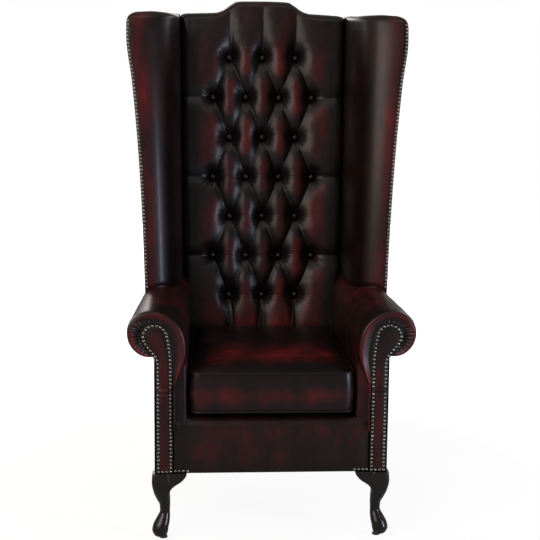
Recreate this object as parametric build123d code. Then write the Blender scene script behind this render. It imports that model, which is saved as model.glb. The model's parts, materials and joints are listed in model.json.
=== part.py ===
# A high back wing chair with scrolled arms, a deep buttoned back, wings and cabriole front legs.
# Millimetres. +Z is up, the front faces -Y, and X = 0 is the plane of symmetry.
# The origin is on the floor, in the middle of the overall box. Left and right are as seen from the front.
# Right-hand pieces (X > 0) are made first, and the left-hand ones are their mirror images.

from build123d import *
import math
import os

# Overall sizes
overall_height = 1520
overall_depth = 790
leg_height = 187
base_half_width_front = 316
base_half_width_rear = 292
back_rake_deg = 6

# Clearances and thicknesses used all over
soft_gap = 0.3
fit_gap = 0.05
overrun = 60
reach = 2500
leather = 3
board = 26

# Seat frame and front border
face_setback = 12
front_pad = 8
border_skin = 4
border_top = 338
border_nose = 16
border_depth = 43
rail_height = 100
tacking_rail_width = 20
tacking_rail_height = 30
block_size = 62
block_height = 44
dust_cover_thickness = 1
dowel_radius = 5
dowel_length = 44
dowel_low = 58
dowel_high = 83

# Springs and deck
spring_count = 5
spring_wire = 3.6
spring_wave_pitch = 24
spring_wave_width = 56
clip_width = 24
clip_thickness = 2
clip_depth = 20
deck_top = 344
deck_side_gap = 1
deck_rear_gap = 2

# Back
post_width = 42
post_depth = 42
lumbar_rail_lift = 140
lumbar_rail_height = 70
webbing_thickness = 2
webbing_width = 50
hessian_thickness = 1
back_foam_thickness = 35
button_base_thickness = 28
pillow_height = 17
pad_half_width_top = 264
pad_half_width_bottom = 247
pad_bottom_lift = 8
back_half_width_top = 298
crest_half_width = 92
crest_camber = 4
crest_corner_width = 12
crest_corner_drop = 13
crest_foot_half_width = 186
crest_foot_drop = 40
crest_shoulder_drop = 45
crest_roll_height = 30
crest_roll_edge = 6
crest_rail_height = 95
crest_rail_raise = 38
roll_turn_shares = (0, 0.12, 0.25, 0.38, 0.5, 0.62, 0.75, 0.88, 1)

# Buttons
button_row_pitch = 126.5
button_column_pitch = 107
button_top_height = 1338
button_rows = (3, 4, 3, 4, 3, 4, 3)
button_radius = 9
button_thickness = 6
tuft_top_radius = 27
tuft_bottom_radius = 11
tuft_depth = 33
twine_radius = 0.8
twine_hole_radius = 1.2
toggle_radius = 7
toggle_thickness = 2
pillow_seam = 1.6
pillow_scale_shares = (1, 0.88, 0.62, 0.3)
pillow_rise_shares = (0, 0.55, 0.88, 1)

# Arms
arm_inner_x = 227
arm_roll_radius_front = 60
arm_roll_radius_rear = 48
arm_roll_height_front = 573
arm_roll_height_rear = 606
arm_roll_overhang = 8
arm_cover_thickness = 4
arm_front_round = 11
arm_foam_wall = 26
arm_wall_bottom = 300
arm_end_setback = 44
arm_rail_width = 46
arm_rail_height = 44
arm_rail_front_x = 327
arm_rail_rear_x = 285
stump_thickness = 28
stump_inner_x = 262
stump_shoulder_z = 470
stump_padding = 2
round_turn_shares = (0, 0.34, 0.67, 1)

# Arm facing
facing_thickness = 6
facing_head_radius = 37
facing_head_x = 313
facing_head_z = 562
facing_inner_x = 266
facing_outer_x = 311
facing_neck_radius = 30
facing_shoulder_z = 480
scroll_start_deg = 165
scroll_middle_deg = 65
scroll_end_deg = -38

# Wings
wing_bottom = 600
wing_top = 1442
wing_half_width_bottom = 357
wing_flare = 52
wing_front_y = -95
wing_setback = 45
wing_rise_shares = (0, 0.27, 0.52, 0.76, 0.92, 0.975, 1)
wing_flare_shares = (0, 0.13, 0.35, 0.69, 1, 0.96, 0.67)
wing_setback_shares = (0, 0.16, 0.38, 0.67, 0.93, 1.13, 1.62)
wing_tilt_deg = 4.5
wing_band_width = 12
wing_bulge = 42
wing_join_gap = 0.8
wing_fold = 1
wing_post_width = 34
wing_post_thickness = 24
wing_post_inset = 32
wing_post_bottom = 565
wing_top_rail_height = 24
wing_cap_thickness = 14

# Seat cushion
cushion_half_width = 217
cushion_bottom_seam = 357
cushion_top_seam = 463
cushion_crown = 22
cushion_corner = 28
cushion_border_bulge = 4
cushion_skin = 1.6
cushion_front_overhang = 6
cushion_back_gap = 8
crown_width = 150
bottom_round_width = 60
piping_radius = 2.6
border_bulge_shares = (0, 0.75, 1, 0.75, 0)
crown_inset_shares = (0.2, 0.55, 1)
crown_rise_shares = (0.55, 0.9, 1)
bottom_inset_shares = (0.4, 1)
bottom_rise_shares = (0.8, 1)

# Cushion zip
zip_length = 380
zip_tape_width = 26
zip_tape_thickness = 0.8
zip_tape_gap = 0.7
zip_slot_width = 8.2
zip_chain_width = 5
slider_length = 14
slider_width = 11
slider_plate = 1.6
slider_wall = 1
zip_running_gap = 0.3
pull_length = 22
pull_width = 6
pull_thickness = 1

# Legs. The shares go from the top of the leg down to the glide.
leg_block_width = 47
leg_reach = 8
leg_drop_shares = (0, 0.15, 0.29, 0.42, 0.52, 0.61, 0.71, 0.8, 0.875, 0.96, 1)
leg_sway_shares = (0.96, 1, 0.915, 0.74, 0.575, 0.555, 0.745, 0.935, 1, 0.87, 0.6)
leg_width_shares = (1, 1.1, 0.96, 0.79, 0.62, 0.585, 0.78, 0.93, 0.94, 0.72, 0.5)
leg_sway = 47
leg_round_share = 0.3
ear_width = 45
ear_drop = 60
ear_thickness = 24
ear_setback = 6
ear_shares = ((0, 0), (0.1, 0.28), (0.44, 0.48), (0.84, 0.68), (1, 1))
rear_leg_top = 46
rear_leg_bottom = 32
rear_leg_sweep = 84
glide_radius = 11
glide_thickness = 3
glide_pin_radius = 2
glide_pin_length = 14
bolt_radius = 4
bolt_length = 96
bolt_in_leg = 52
rear_bolt_in_leg = 34
nut_radius = 6
nut_height = 16

# Dome nails
nail_radius = 4.7
nail_dome = 2.6
nail_pitch = 10.6
nail_edge = 6
base_row_length = 33

# Derived planes and levels
rake = math.radians(back_rake_deg)
rake_sin = math.sin(rake)
rake_cos = math.cos(rake)
face_y = face_setback - overall_depth / 2
rail_top = leg_height + rail_height
slab_n = 2 * webbing_thickness + hessian_thickness
pad_back_n = slab_n + back_foam_thickness
pad_base_n = pad_back_n + button_base_thickness
pad_front_n = pad_base_n + pillow_height
panel_rear_n = -post_depth - leather
roll_middle_n = (pad_front_n - post_depth) / 2
roll_half_depth = (pad_front_n + post_depth) / 2
roll_reach = math.hypot(crest_roll_height * rake_cos, roll_half_depth * rake_sin)
roll_middle_s = (overall_height - leg_height - roll_middle_n * rake_sin - roll_reach) / rake_cos
crest_top_s = roll_middle_s + crest_roll_height
panel_top_s = roll_middle_s
roll_bottom_s = crest_top_s - crest_shoulder_drop - crest_roll_height - crest_roll_edge
frame_y = overall_depth / 2 + panel_rear_n * rake_cos - panel_top_s * rake_sin
stump_front_y = face_y + front_pad
stump_rear_y = stump_front_y + stump_thickness
rail_front_y = face_y + border_skin

back_plane = Plane(origin=(0, frame_y, leg_height), x_dir=(1, 0, 0), z_dir=(0, -rake_cos, rake_sin))
front_plane = Plane(origin=(0, 0, 0), x_dir=(1, 0, 0), z_dir=(0, -1, 0))

parts = {}


def keep(name, *shapes):
    """Stores a sub-part's solids under its name."""
    solids = []
    for shape in shapes:
        solids += list(shape.solids())
    parts[name] = solids


def both_sides(shapes):
    return list(shapes) + [mirror(shape, about=Plane.YZ) for shape in shapes]


def keep_pair(name, shape):
    """Stores the right-hand sub-part, and its mirror image as the left-hand one."""
    keep("right_" + name, shape)
    keep("left_" + name, mirror(shape, about=Plane.YZ))


def keep_both(name, *shapes):
    """Stores inner pieces of both sides under one name."""
    keep(name, *both_sides(shapes))


def line(start, end):
    return Edge.make_line(Vector(*start), Vector(*end))


def arc(start, middle, end):
    return Edge.make_three_point_arc(Vector(*start), Vector(*middle), Vector(*end))


def polygon(points):
    return Wire.make_polygon([Vector(*point) for point in points], close=True)


def prism(points, direction):
    """A straight prism on a polygon of points in space."""
    return Solid.extrude(Face(polygon(points)), Vector(*direction))


def between(low, high):
    """A box from its lowest to its highest corner."""
    size = [top - bottom for bottom, top in zip(low, high)]
    middle = [(top + bottom) / 2 for bottom, top in zip(low, high)]
    return Pos(*middle) * Box(*size)


def rod(start, end, radius):
    """A round rod from one point to another."""
    axis = Vector(*end) - Vector(*start)
    return Solid.make_cylinder(radius, axis.length, Plane(origin=Vector(*start), z_dir=axis))


def back_s(z, n=0.0):
    """How far up the rake the plane n in front of the back frame reaches height z."""
    return (z - leg_height - n * rake_sin) / rake_cos


def back_y(z, n=0.0):
    """The Y at height z of the plane n in front of the back frame."""
    return frame_y + back_s(z, n) * rake_sin - n * rake_cos


def back_point(x, s, n):
    return back_plane.from_local_coords(Vector(x, s, n))


def back_box(x_low, x_high, s_low, s_high, n_low, n_high):
    """A box in the raked frame of the back, cut off level with the frame's underside."""
    solid = back_plane * between((x_low, s_low, n_low), (x_high, s_high, n_high))
    return solid - between((-reach, -reach, -reach), (reach, reach, leg_height))


def back_prism(outline, n_low, n_high):
    """A prism on a wire of local (x, s) edges, between two planes of the back."""
    face = Face(Wire(outline))
    solid = Solid.extrude(face, Vector(0, 0, n_high - n_low))
    return back_plane * (Pos(0, 0, n_low) * solid)


def behind_back(n):
    """Everything behind the plane n in front of the back frame."""
    return back_plane * between((-reach, -reach, -reach), (reach, reach, n))


rear_y = back_y(leg_height, -post_depth)


def along(front, rear, y):
    """The value at y of what runs in a straight line from the front face to the rear of the frame."""
    return front + (rear - front) * (y - face_y) / (rear_y - face_y)


def side_x(y):
    """The half width of the base at y, at the outside of the leather."""
    return along(base_half_width_front, base_half_width_rear, y)


post_outer_x = side_x(back_y(wing_bottom, -post_depth)) - leather - soft_gap
post_inner_x = post_outer_x - post_width


def pad_half_width(s):
    share = s / crest_top_s
    return pad_half_width_bottom + (pad_half_width_top - pad_half_width_bottom) * share


def nail(point, direction):
    """The dome head of an upholstery nail on a surface."""
    ball_radius = (nail_radius ** 2 + nail_dome ** 2) / (2 * nail_dome)
    ball = Pos(0, 0, nail_dome - ball_radius) * Sphere(ball_radius)
    head = ball & between((-nail_radius, -nail_radius, fit_gap), (nail_radius, nail_radius, nail_dome))
    return Plane(origin=Vector(*point), z_dir=Vector(*direction)) * head


def nails_on_wire(path, direction):
    """Nail heads at an even pitch along a wire, both ends included."""
    count = round(path.length / nail_pitch)
    return [nail(path @ (index / count), direction) for index in range(count + 1)]


# Seat frame

def side_rail_x(y):
    """The outside of the side seat rail, just under the outside arm panel."""
    return side_x(y) - leather


def dowel_pairs():
    """The dowels of the right-hand corners: two in each joint of the seat frame."""
    dowels = []
    half = dowel_length / 2
    front_y = rail_front_y + board / 2
    side_front_x = side_rail_x(stump_rear_y) - board / 2
    side_rear_x = side_rail_x(rear_y) - board / 2
    for lift in (dowel_low, dowel_high):
        z = leg_height + lift
        post_y = back_y(z)
        rail_y = back_y(z, -board / 2)
        dowels.append(rod((stump_inner_x - half, front_y, z), (stump_inner_x + half, front_y, z), dowel_radius))
        dowels.append(
            rod((side_front_x, stump_rear_y - half, z), (side_front_x, stump_rear_y + half, z), dowel_radius)
        )
        dowels.append(rod((side_rear_x, post_y - half, z), (side_rear_x, post_y + half, z), dowel_radius))
        dowels.append(rod((post_inner_x - half, rail_y, z), (post_inner_x + half, rail_y, z), dowel_radius))
    return dowels


def dowel_holes():
    holes = []
    for dowel in dowel_pairs():
        middle = dowel.center()
        axis = Vector(1, 0, 0) if dowel.bounding_box().size.X > dowel_length / 2 else Vector(0, 1, 0)
        half = axis * (dowel_length / 2 + fit_gap)
        holes.append(rod(tuple(middle - half), tuple(middle + half), dowel_radius + fit_gap))
    return holes


def seat_rails():
    holes = both_sides(dowel_holes())
    front = between(
        (-stump_inner_x, rail_front_y, leg_height), (stump_inner_x, rail_front_y + board, rail_top)
    )
    keep("front_seat_rail", front - holes)
    back = back_box(-post_inner_x, post_inner_x, -overrun, back_s(rail_top), -board, 0)
    keep("back_seat_rail", back - between((-reach, -reach, rail_top), (reach, reach, reach)) - holes)
    corners = [(side_rail_x(y), y, leg_height) for y in (stump_rear_y, rear_y)]
    corners += [(x - board, y, z) for x, y, z in reversed(corners)]
    side = prism(corners, (0, 0, rail_height)) - behind_back(0)
    keep_pair("seat_rail", side - dowel_holes())
    keep_both("rail_dowels", *dowel_pairs())


def corner_blocks():
    """Glue blocks in the four corners of the seat frame."""
    front_y = rail_front_y + board
    front_x = side_rail_x(stump_rear_y + block_size) - board
    rear_x = side_rail_x(rear_y) - board
    rear_front_y = back_y(leg_height) - block_size
    front = prism(
        [
            (stump_inner_x - block_size, front_y, leg_height),
            (stump_inner_x, front_y, leg_height),
            (stump_inner_x, stump_rear_y, leg_height),
            (front_x, stump_rear_y, leg_height),
            (front_x, stump_rear_y + block_size, leg_height),
        ],
        (0, 0, block_height),
    )
    rear = prism(
        [
            (rear_x, rear_front_y, leg_height),
            (rear_x, rear_y, leg_height),
            (rear_x - block_size - post_depth, rear_y, leg_height),
        ],
        (0, 0, block_height),
    )
    keep_both("corner_blocks", front, rear - behind_back(0))


def dust_cover():
    """The cloth under the seat, cut round the legs."""
    low = leg_height - dust_cover_thickness
    cut = 2 * (ear_width + leg_block_width / 2)
    front_y = rail_front_y + board * 3 / 4
    front_x = side_rail_x(front_y) - board / 2
    rear_y_here = back_y(leg_height, -board / 2)
    rear_x = side_rail_x(rear_y_here) - board / 2
    outline = [
        (-front_x, front_y, low), (front_x, front_y, low), (rear_x, rear_y_here, low), (-rear_x, rear_y_here, low)
    ]
    corners = []
    for side in (-1, 1):
        for y in (front_y, rear_y_here):
            corners.append(Pos(side * front_x, y, low) * Box(cut, cut, overrun))
    keep("dust_cover", prism(outline, (0, 0, dust_cover_thickness)) - corners)


def spring_level():
    return rail_top + clip_thickness + fit_gap + spring_wire / 2


def spring_places():
    pitch = 2 * arm_inner_x / (spring_count + 1)
    return [(index - (spring_count - 1) / 2) * pitch for index in range(spring_count)]


def spring_ends():
    """The Y of the first and of the last cross wire of each spring."""
    front = rail_front_y + board / 2
    rear = back_y(rail_top, -board / 2)
    return front, rear


def serpentine_spring(x):
    """A zigzag of straight cross wires joined by half turns, in one plane."""
    front, rear = spring_ends()
    z = spring_level()
    turns = 2 * round((rear - front) / spring_wave_pitch / 2)
    step = (rear - front) / turns
    half = spring_wave_width / 2 - step / 2
    edges = []
    for index in range(turns + 1):
        y = front + index * step
        side = 1 if index % 2 == 0 else -1
        edges.append(line((x - side * half, y, z), (x + side * half, y, z)))
        if index < turns:
            out = x + side * (half + step / 2)
            edges.append(arc((x + side * half, y, z), (out, y + step / 2, z), (x + side * half, y + step, z)))
    path = Wire(edges)
    section = Plane(origin=path @ 0, z_dir=path % 0) * Circle(spring_wire / 2)
    return sweep(section, path)


def spring_clip(x, y, side):
    """A folded clip that holds a spring's end wire on top of a rail. Side is 1 where it opens to the rear."""
    low = rail_top
    hold = spring_wire / 2 + fit_gap
    tall = 2 * (clip_thickness + hold)
    shape = between((x - clip_width / 2, -clip_depth / 2, low), (x + clip_width / 2, clip_depth / 2, low + tall))
    mouth = between(
        (x - clip_width, -hold, low + clip_thickness), (x + clip_width, clip_depth, low + tall - clip_thickness)
    )
    clip = shape - mouth
    if side < 0:
        clip = mirror(clip, about=Plane.XZ)
    return Pos(0, y, 0) * clip


def seat_springs():
    front, rear = spring_ends()
    keep("seat_springs", *[serpentine_spring(x) for x in spring_places()])
    clips = [spring_clip(x, front, 1) for x in spring_places()]
    clips += [spring_clip(x, rear, -1) for x in spring_places()]
    keep("spring_clips", *clips)


def seat_deck():
    """The deck pad over the springs, under the loose cushion."""
    low = spring_level() + spring_wire / 2 + fit_gap + clip_thickness + soft_gap
    half = arm_inner_x - deck_side_gap
    front = face_y + border_depth + soft_gap
    rear = back_y(low) - deck_rear_gap
    keep("seat_deck", between((-half, front, low), (half, rear, deck_top)))


def border_profile(y_front, top, nose, bottom):
    """The front border's outline in the YZ plane, with its rounded nose."""
    rear = face_y + border_depth
    bend = nose * (1 - math.sqrt(0.5))
    return [
        line((0, y_front, bottom), (0, y_front, top - nose)),
        arc((0, y_front, top - nose), (0, y_front + bend, top - bend), (0, y_front + nose, top)),
        line((0, y_front + nose, top), (0, rear, top)),
        line((0, rear, top), (0, rear, bottom)),
        line((0, rear, bottom), (0, y_front, bottom)),
    ]


def front_border():
    """The leather on the front rail, with the edge pad that rounds its nose."""
    half = facing_inner_x - soft_gap
    outer = Face(Wire(border_profile(face_y, border_top, border_nose, leg_height)))
    inner = Face(
        Wire(
            border_profile(
                rail_front_y, border_top - border_skin, border_nose - border_skin, leg_height - overrun
            )
        )
    )
    skin = Solid.extrude(outer, Vector(2 * half, 0, 0))
    core = Solid.extrude(inner, Vector(2 * reach, 0, 0))
    skin = Pos(-half, 0, 0) * skin - Pos(-reach, 0, 0) * core
    stump_room = between((stump_inner_x - soft_gap, rail_front_y, -reach), (reach, reach, reach))
    keep("front_border", skin - both_sides([stump_room]))
    front, _ = spring_ends()
    profile = Face(
        Wire(border_profile(rail_front_y, border_top - border_skin, border_nose - border_skin, rail_top))
    )
    half = stump_inner_x - soft_gap
    pad = Pos(-half, 0, 0) * Solid.extrude(profile, Vector(2 * half, 0, 0))
    room = clip_depth / 2 + soft_gap
    top = spring_level() + spring_wire / 2 + clip_thickness + soft_gap
    trench = between((-arm_inner_x, front - room, rail_top - overrun), (arm_inner_x, reach, top))
    keep("front_edge_pad", pad - trench)


# Back

def crest_edges(drop, bottom, half_width=None):
    """The outline of the back in (x, s): the raised crest, drop below its line, down to the bottom."""
    top = crest_top_s - drop
    edges = [arc((crest_half_width, top - crest_camber, 0), (0, top, 0), (-crest_half_width, top - crest_camber, 0))]
    corner_x = crest_half_width + crest_corner_width
    foot = (crest_foot_half_width, top - crest_foot_drop, 0)
    corner = (corner_x, top - crest_corner_drop, 0)
    corner_bend = (
        corner_x - crest_corner_width / 3, top - crest_camber - (crest_corner_drop - crest_camber) / 3, 0
    )
    hollow = (
        corner_x + (crest_foot_half_width - corner_x) / 2,
        top - crest_corner_drop - (crest_foot_drop - crest_corner_drop) * 3 / 4,
        0,
    )
    shoulder_s = top - crest_shoulder_drop
    shoulder_x = half_width or pad_half_width(shoulder_s)
    bottom_x = base_half_width_rear if half_width else pad_half_width(bottom)
    for side in (1, -1):
        def turned(point):
            return (side * point[0], point[1], 0)
        edges.append(arc(turned((crest_half_width, top - crest_camber)), turned(corner_bend), turned(corner)))
        edges.append(arc(turned(corner), turned(hollow), turned(foot)))
        edges.append(line(turned(foot), turned((shoulder_x, shoulder_s))))
        edges.append(line(turned((shoulder_x, shoulder_s)), turned((bottom_x, bottom))))
    edges.append(line((-bottom_x, bottom, 0), (bottom_x, bottom, 0)))
    return edges


def pad_bottom_s():
    return back_s(deck_top + pad_bottom_lift, pad_base_n)


def button_places():
    """The (x, s) of each button, on the plane of the pit bottoms."""
    places = []
    pit_n = pad_front_n - tuft_depth
    for row, count in enumerate(button_rows):
        s = back_s(button_top_height - row * button_row_pitch, pit_n)
        for index in range(count):
            places.append(((index - (count - 1) / 2) * button_column_pitch, s))
    return places


def row_s(row):
    pit_n = pad_front_n - tuft_depth
    return back_s(button_top_height - row * button_row_pitch, pit_n)


def pillow_outlines():
    """The leather panels between the pleats, as corners in (x, s), with the edge each one runs into."""
    column = button_column_pitch
    last = len(button_rows) - 1
    outer_column = 1.5 * column
    outlines = []
    for row in range(1, last):
        gaps = button_rows[row] - 1
        for index in range(gaps):
            x = (index - (gaps - 1) / 2) * column
            left = (x - column / 2, row_s(row))
            right = (x + column / 2, row_s(row))
            outlines.append(([(x, row_s(row - 1)), right, (x, row_s(row + 1)), left], None))
    for side in (1, -1):
        for row in range(1, last - 1, 2):
            top = row_s(row)
            low = row_s(row + 2)
            corners = [
                (side * pad_half_width(top), top), (side * outer_column, top), (side * column, row_s(row + 1)),
                (side * outer_column, low), (side * pad_half_width(low), low),
            ]
            outlines.append((corners, None))
        for row, inward, far in ((0, 1, roll_bottom_s + crest_roll_edge), (last, last - 1, pad_bottom_s())):
            near = row_s(row)
            tip = row_s(inward)
            inner = [
                (0, far), (0, near), (side * column / 2, tip), (side * column, near), (side * column, far)
            ]
            outer = [
                (side * column, far), (side * column, near), (side * outer_column, tip),
                (side * pad_half_width(tip), tip), (side * pad_half_width(far), far),
            ]
            outlines += [(inner, far), (outer, far)]
    return outlines


def pillow(corners, far):
    """One stuffed panel, a stack of outlines that shrink towards its middle, but not from its far edge."""
    middle_x = sum(x for x, s in corners) / len(corners)
    middle_s = sum(s for x, s in corners) / len(corners)
    shrink = 1 - pillow_seam / max(abs(x - middle_x) for x, s in corners)
    wires = []
    for scale, rise in zip(pillow_scale_shares, pillow_rise_shares):
        n = pad_base_n + pillow_height * rise
        points = []
        for x, s in corners:
            near_x = middle_x + (x - middle_x) * scale * shrink
            near_s = s if s == far else middle_s + (s - middle_s) * scale * shrink
            points.append(back_point(near_x, near_s, n))
        wires.append(Wire.make_polygon(points, close=True))
    return Solid.make_loft(wires, True)


def crest_roll():
    """The stuffed roll over the top of the back, with the raised crest."""
    wires = []
    for share in roll_turn_shares:
        turn = math.pi * share
        n = roll_middle_n + roll_half_depth * math.cos(turn)
        drop = crest_roll_height * (1 - math.sin(turn))
        wire = Wire(crest_edges(drop, roll_bottom_s))
        wires.append(back_plane * (Pos(0, 0, n) * wire))
    return Solid.make_loft(wires, True)


def tuft_pits():
    pits = []
    slope = (tuft_top_radius - tuft_bottom_radius) / tuft_depth
    top_radius = tuft_top_radius + slope * overrun
    for x, s in button_places():
        pit = Solid.make_cone(tuft_bottom_radius, top_radius, tuft_depth + overrun)
        pits.append(back_plane * (Pos(x, s, pad_front_n - tuft_depth) * pit))
    return pits


def twine_holes():
    holes = []
    length = 2 * overrun + pad_front_n
    for x, s in button_places():
        holes.append(back_plane * (Pos(x, s, -overrun) * Solid.make_cylinder(twine_hole_radius, length)))
    return holes


def crest_rail():
    """The top rail of the back, with its raised middle."""
    low = roll_bottom_s - crest_rail_height
    rail = back_box(-post_inner_x, post_inner_x, low, roll_bottom_s, -board, 0)
    raised = back_box(
        -crest_half_width, crest_half_width, roll_bottom_s - overrun, roll_bottom_s + crest_rail_raise, -board, 0
    )
    return rail + raised


def back_frame():
    """Posts, crest rail and lumbar rail."""
    post = back_box(post_inner_x, post_outer_x, -overrun, roll_bottom_s, -post_depth, 0)
    post = post - dowel_holes() - leg_bores()
    keep_both("back_posts", post)
    keep("crest_rail", crest_rail())
    low = lumbar_rail_lift
    keep(
        "lumbar_rail",
        back_box(-post_inner_x, post_inner_x, low, low + lumbar_rail_height, -board, 0),
    )


def back_layers():
    """Webbing, hessian, foam and the buttoned pad, from the frame forwards."""
    holes = twine_holes()
    low = lumbar_rail_lift
    high = roll_bottom_s - soft_gap
    thick = webbing_thickness
    straps = []
    for index in range(-3, 4):
        x = index * button_column_pitch / 2
        straps.append(back_box(x - webbing_width / 2, x + webbing_width / 2, low, high, 0, thick))
    half = pad_half_width_bottom - soft_gap
    across = int((high - low) / button_row_pitch)
    for index in range(across):
        s = low + (index + 0.5) * (high - low) / across
        straps.append(back_box(-half, half, s - webbing_width / 2, s + webbing_width / 2, thick, 2 * thick))
    keep("back_webbing", *[strap - holes for strap in straps])
    hessian = back_box(-half, half, low, high, 2 * thick, slab_n)
    keep("back_hessian", hessian - holes)
    low_s = pad_bottom_s()
    half = pad_half_width(low_s) - soft_gap
    foam = back_box(-half, half, low_s, high, slab_n, pad_back_n)
    keep("back_foam", foam - holes)
    outline = polygon(
        [
            (-pad_half_width(low_s), low_s, 0), (pad_half_width(low_s), low_s, 0),
            (pad_half_width(roll_bottom_s + fit_gap), roll_bottom_s + fit_gap, 0),
            (-pad_half_width(roll_bottom_s + fit_gap), roll_bottom_s + fit_gap, 0),
        ]
    )
    slab = back_prism(outline.edges(), pad_back_n, pad_base_n)
    pad = slab + crest_roll() + [pillow(corners, far) for corners, far in pillow_outlines()]
    pad = pad - crest_rail() - tuft_pits() - holes
    keep("buttoned_back", pad)


def covered_button():
    ball_radius = (button_radius ** 2 + button_thickness ** 2) / (2 * button_thickness)
    ball = Pos(0, 0, button_thickness - ball_radius) * Sphere(ball_radius)
    return ball & between(
        (-button_radius, -button_radius, 0), (button_radius, button_radius, button_thickness)
    )


def buttons():
    """Covered buttons, each tied with twine to a toggle behind the webbing."""
    button_n = pad_front_n - tuft_depth + soft_gap
    heads = []
    twines = []
    toggles = []
    toggle = Solid.make_cylinder(toggle_radius, toggle_thickness) - Solid.make_cylinder(
        twine_radius + fit_gap, toggle_thickness
    )
    for x, s in button_places():
        heads.append(back_plane * (Pos(x, s, button_n) * covered_button()))
        twine = Solid.make_cylinder(twine_radius, button_n + toggle_thickness)
        twines.append(back_plane * (Pos(x, s, -toggle_thickness) * twine))
        toggles.append(back_plane * (Pos(x, s, -toggle_thickness - fit_gap) * toggle))
    keep("back_buttons", *heads)
    keep("button_twines", *twines, *toggles)


def outside_back_panel():
    """The leather over the whole back."""
    edges = crest_edges(crest_roll_height, back_s(leg_height, panel_rear_n), back_half_width_top)
    keep("outside_back_panel", back_prism(edges, panel_rear_n, -post_depth - fit_gap))


# Arms

arm_end_y = frame_y + arm_end_setback
roll_tuck = arm_roll_overhang + leather


def roll_centre(y):
    return side_x(y) + arm_roll_overhang, along(arm_roll_height_front, arm_roll_height_rear, y)


def roll_radius(y):
    return along(arm_roll_radius_front, arm_roll_radius_rear, y)


def roll_foot_z(y, inset):
    """The height at which the roll's underside meets the outside of the arm."""
    return roll_centre(y)[1] - math.sqrt((roll_radius(y) - inset) ** 2 - roll_tuck ** 2)


def panel_top_z(y):
    """The top of the outside arm panel, just under the roll."""
    return roll_centre(y)[1] - math.sqrt(roll_radius(y) ** 2 - arm_roll_overhang ** 2) - soft_gap


def arm_curve(y, inset, low):
    """The arm's section, from low on its inside over the roll and round to its underside."""
    x, z = roll_centre(y)
    small = roll_radius(y) - inset
    big = x - arm_inner_x - inset
    big_z = z + roll_radius(y) - inset - big
    end = -math.pi / 2 - math.asin(roll_tuck / small)
    half = (math.pi / 2 + end) / 2

    def on_big(turn):
        return (x + big * math.cos(turn), y, big_z + big * math.sin(turn))

    def on_small(turn):
        return (x + small * math.cos(turn), y, z + small * math.sin(turn))

    return [
        line((x - big, y, low), on_big(math.pi)),
        arc(on_big(math.pi), on_big(math.pi * 3 / 4), on_big(math.pi / 2)),
        arc(on_small(math.pi / 2), on_small((math.pi / 2 + half) / 2), on_small(half)),
        arc(on_small(half), on_small((half + end) / 2), on_small(end)),
    ]


def closed(edges, *corners):
    """A wire of the edges, closed through some more corners."""
    points = [tuple(edges[-1] @ 1), *corners, tuple(edges[0] @ 0)]
    return Wire(edges + [line(start, end) for start, end in zip(points, points[1:])])


def arm_block(inset, low, y_front, y_rear):
    """The solid under the arm's curve, straight down to low from its underside."""
    wires = []
    for y in (y_front, y_rear):
        curve = arm_curve(y, inset, low)
        foot = curve[-1] @ 1
        wires.append(closed(curve, (foot.X, y, low)))
    return Solid.make_loft(wires, True)


def front_room():
    """The space that the front border and the edge pad take from the arms."""
    return between(
        (0, -reach, -reach), (facing_inner_x, face_y + border_depth + soft_gap, border_top + soft_gap)
    )


def back_room():
    """The space that the back takes from the arms: the frame, and the pad in front of it."""
    low = pad_bottom_s() - overrun
    front_n = pad_front_n + soft_gap
    corners = []
    for s in (low, crest_top_s):
        corners.append((pad_half_width(s) + soft_gap, s, 0))
    outline = polygon([(0, low, 0), corners[0], corners[1], (0, crest_top_s, 0)])
    return [behind_back(soft_gap), back_prism(outline.edges(), -post_depth, front_n)]


def arm_front_cap():
    """The stuffed front of the arm, rounded at its edge."""
    wires = []
    for share in round_turn_shares:
        turn = share * math.pi / 2
        y = face_y + front_pad * (1 - math.cos(turn))
        inset = arm_front_round * (1 - math.sin(turn))
        low = border_top + soft_gap
        curve = arm_curve(y, inset, low)
        foot_x = side_x(stump_front_y) - leather - soft_gap
        wires.append(
            closed(
                curve,
                (foot_x, y, leg_height), (facing_inner_x, y, leg_height), (facing_inner_x, y, low),
            )
        )
    return Solid.make_loft(wires, True)


def arm_cover():
    """The leather over the inside of the arm, its roll, its stuffed front and its rear end."""
    wires = []
    for y in (stump_front_y, arm_end_y):
        outer = arm_curve(y, 0, arm_wall_bottom)
        inner = arm_curve(y, arm_cover_thickness, arm_wall_bottom)
        ends = [line(outer[-1] @ 1, inner[-1] @ 1), line(inner[0] @ 0, outer[0] @ 0)]
        wires.append(Wire(outer + inner + ends))
    skin = Solid.make_loft(wires, True)
    inset = arm_cover_thickness / 2
    plate = []
    for y in (arm_end_y - arm_cover_thickness, arm_end_y):
        curve = arm_curve(y, inset, roll_foot_z(y, inset))
        plate.append(closed(curve))
    cover = skin + arm_front_cap() + Solid.make_loft(plate, True)
    return cover - front_room() - back_room() - wing_post() - arm_rail()


def arm_rail():
    """The wooden rail inside the roll, from the stump to the back post."""
    wires = []
    for y in (stump_rear_y, rear_y):
        share = (y - stump_rear_y) / (rear_y - stump_rear_y)
        x = arm_rail_front_x + (arm_rail_rear_x - arm_rail_front_x) * share
        z = roll_centre(y)[1]
        half = arm_rail_width / 2
        tall = arm_rail_height / 2
        wires.append(
            polygon([(x - half, y, z - tall), (x + half, y, z - tall), (x + half, y, z + tall), (x - half, y, z + tall)])
        )
    return Solid.make_loft(wires, True) - behind_back(0)


def tacking_rail():
    """The rail at the foot of the arm's inside, which holds the foam wall."""
    x = arm_inner_x + arm_cover_thickness + arm_foam_wall + 2 * fit_gap
    rail = between(
        (x, stump_rear_y, arm_wall_bottom), (x + tacking_rail_width, reach, arm_wall_bottom + tacking_rail_height)
    )
    return rail - behind_back(0) - front_room()


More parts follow.
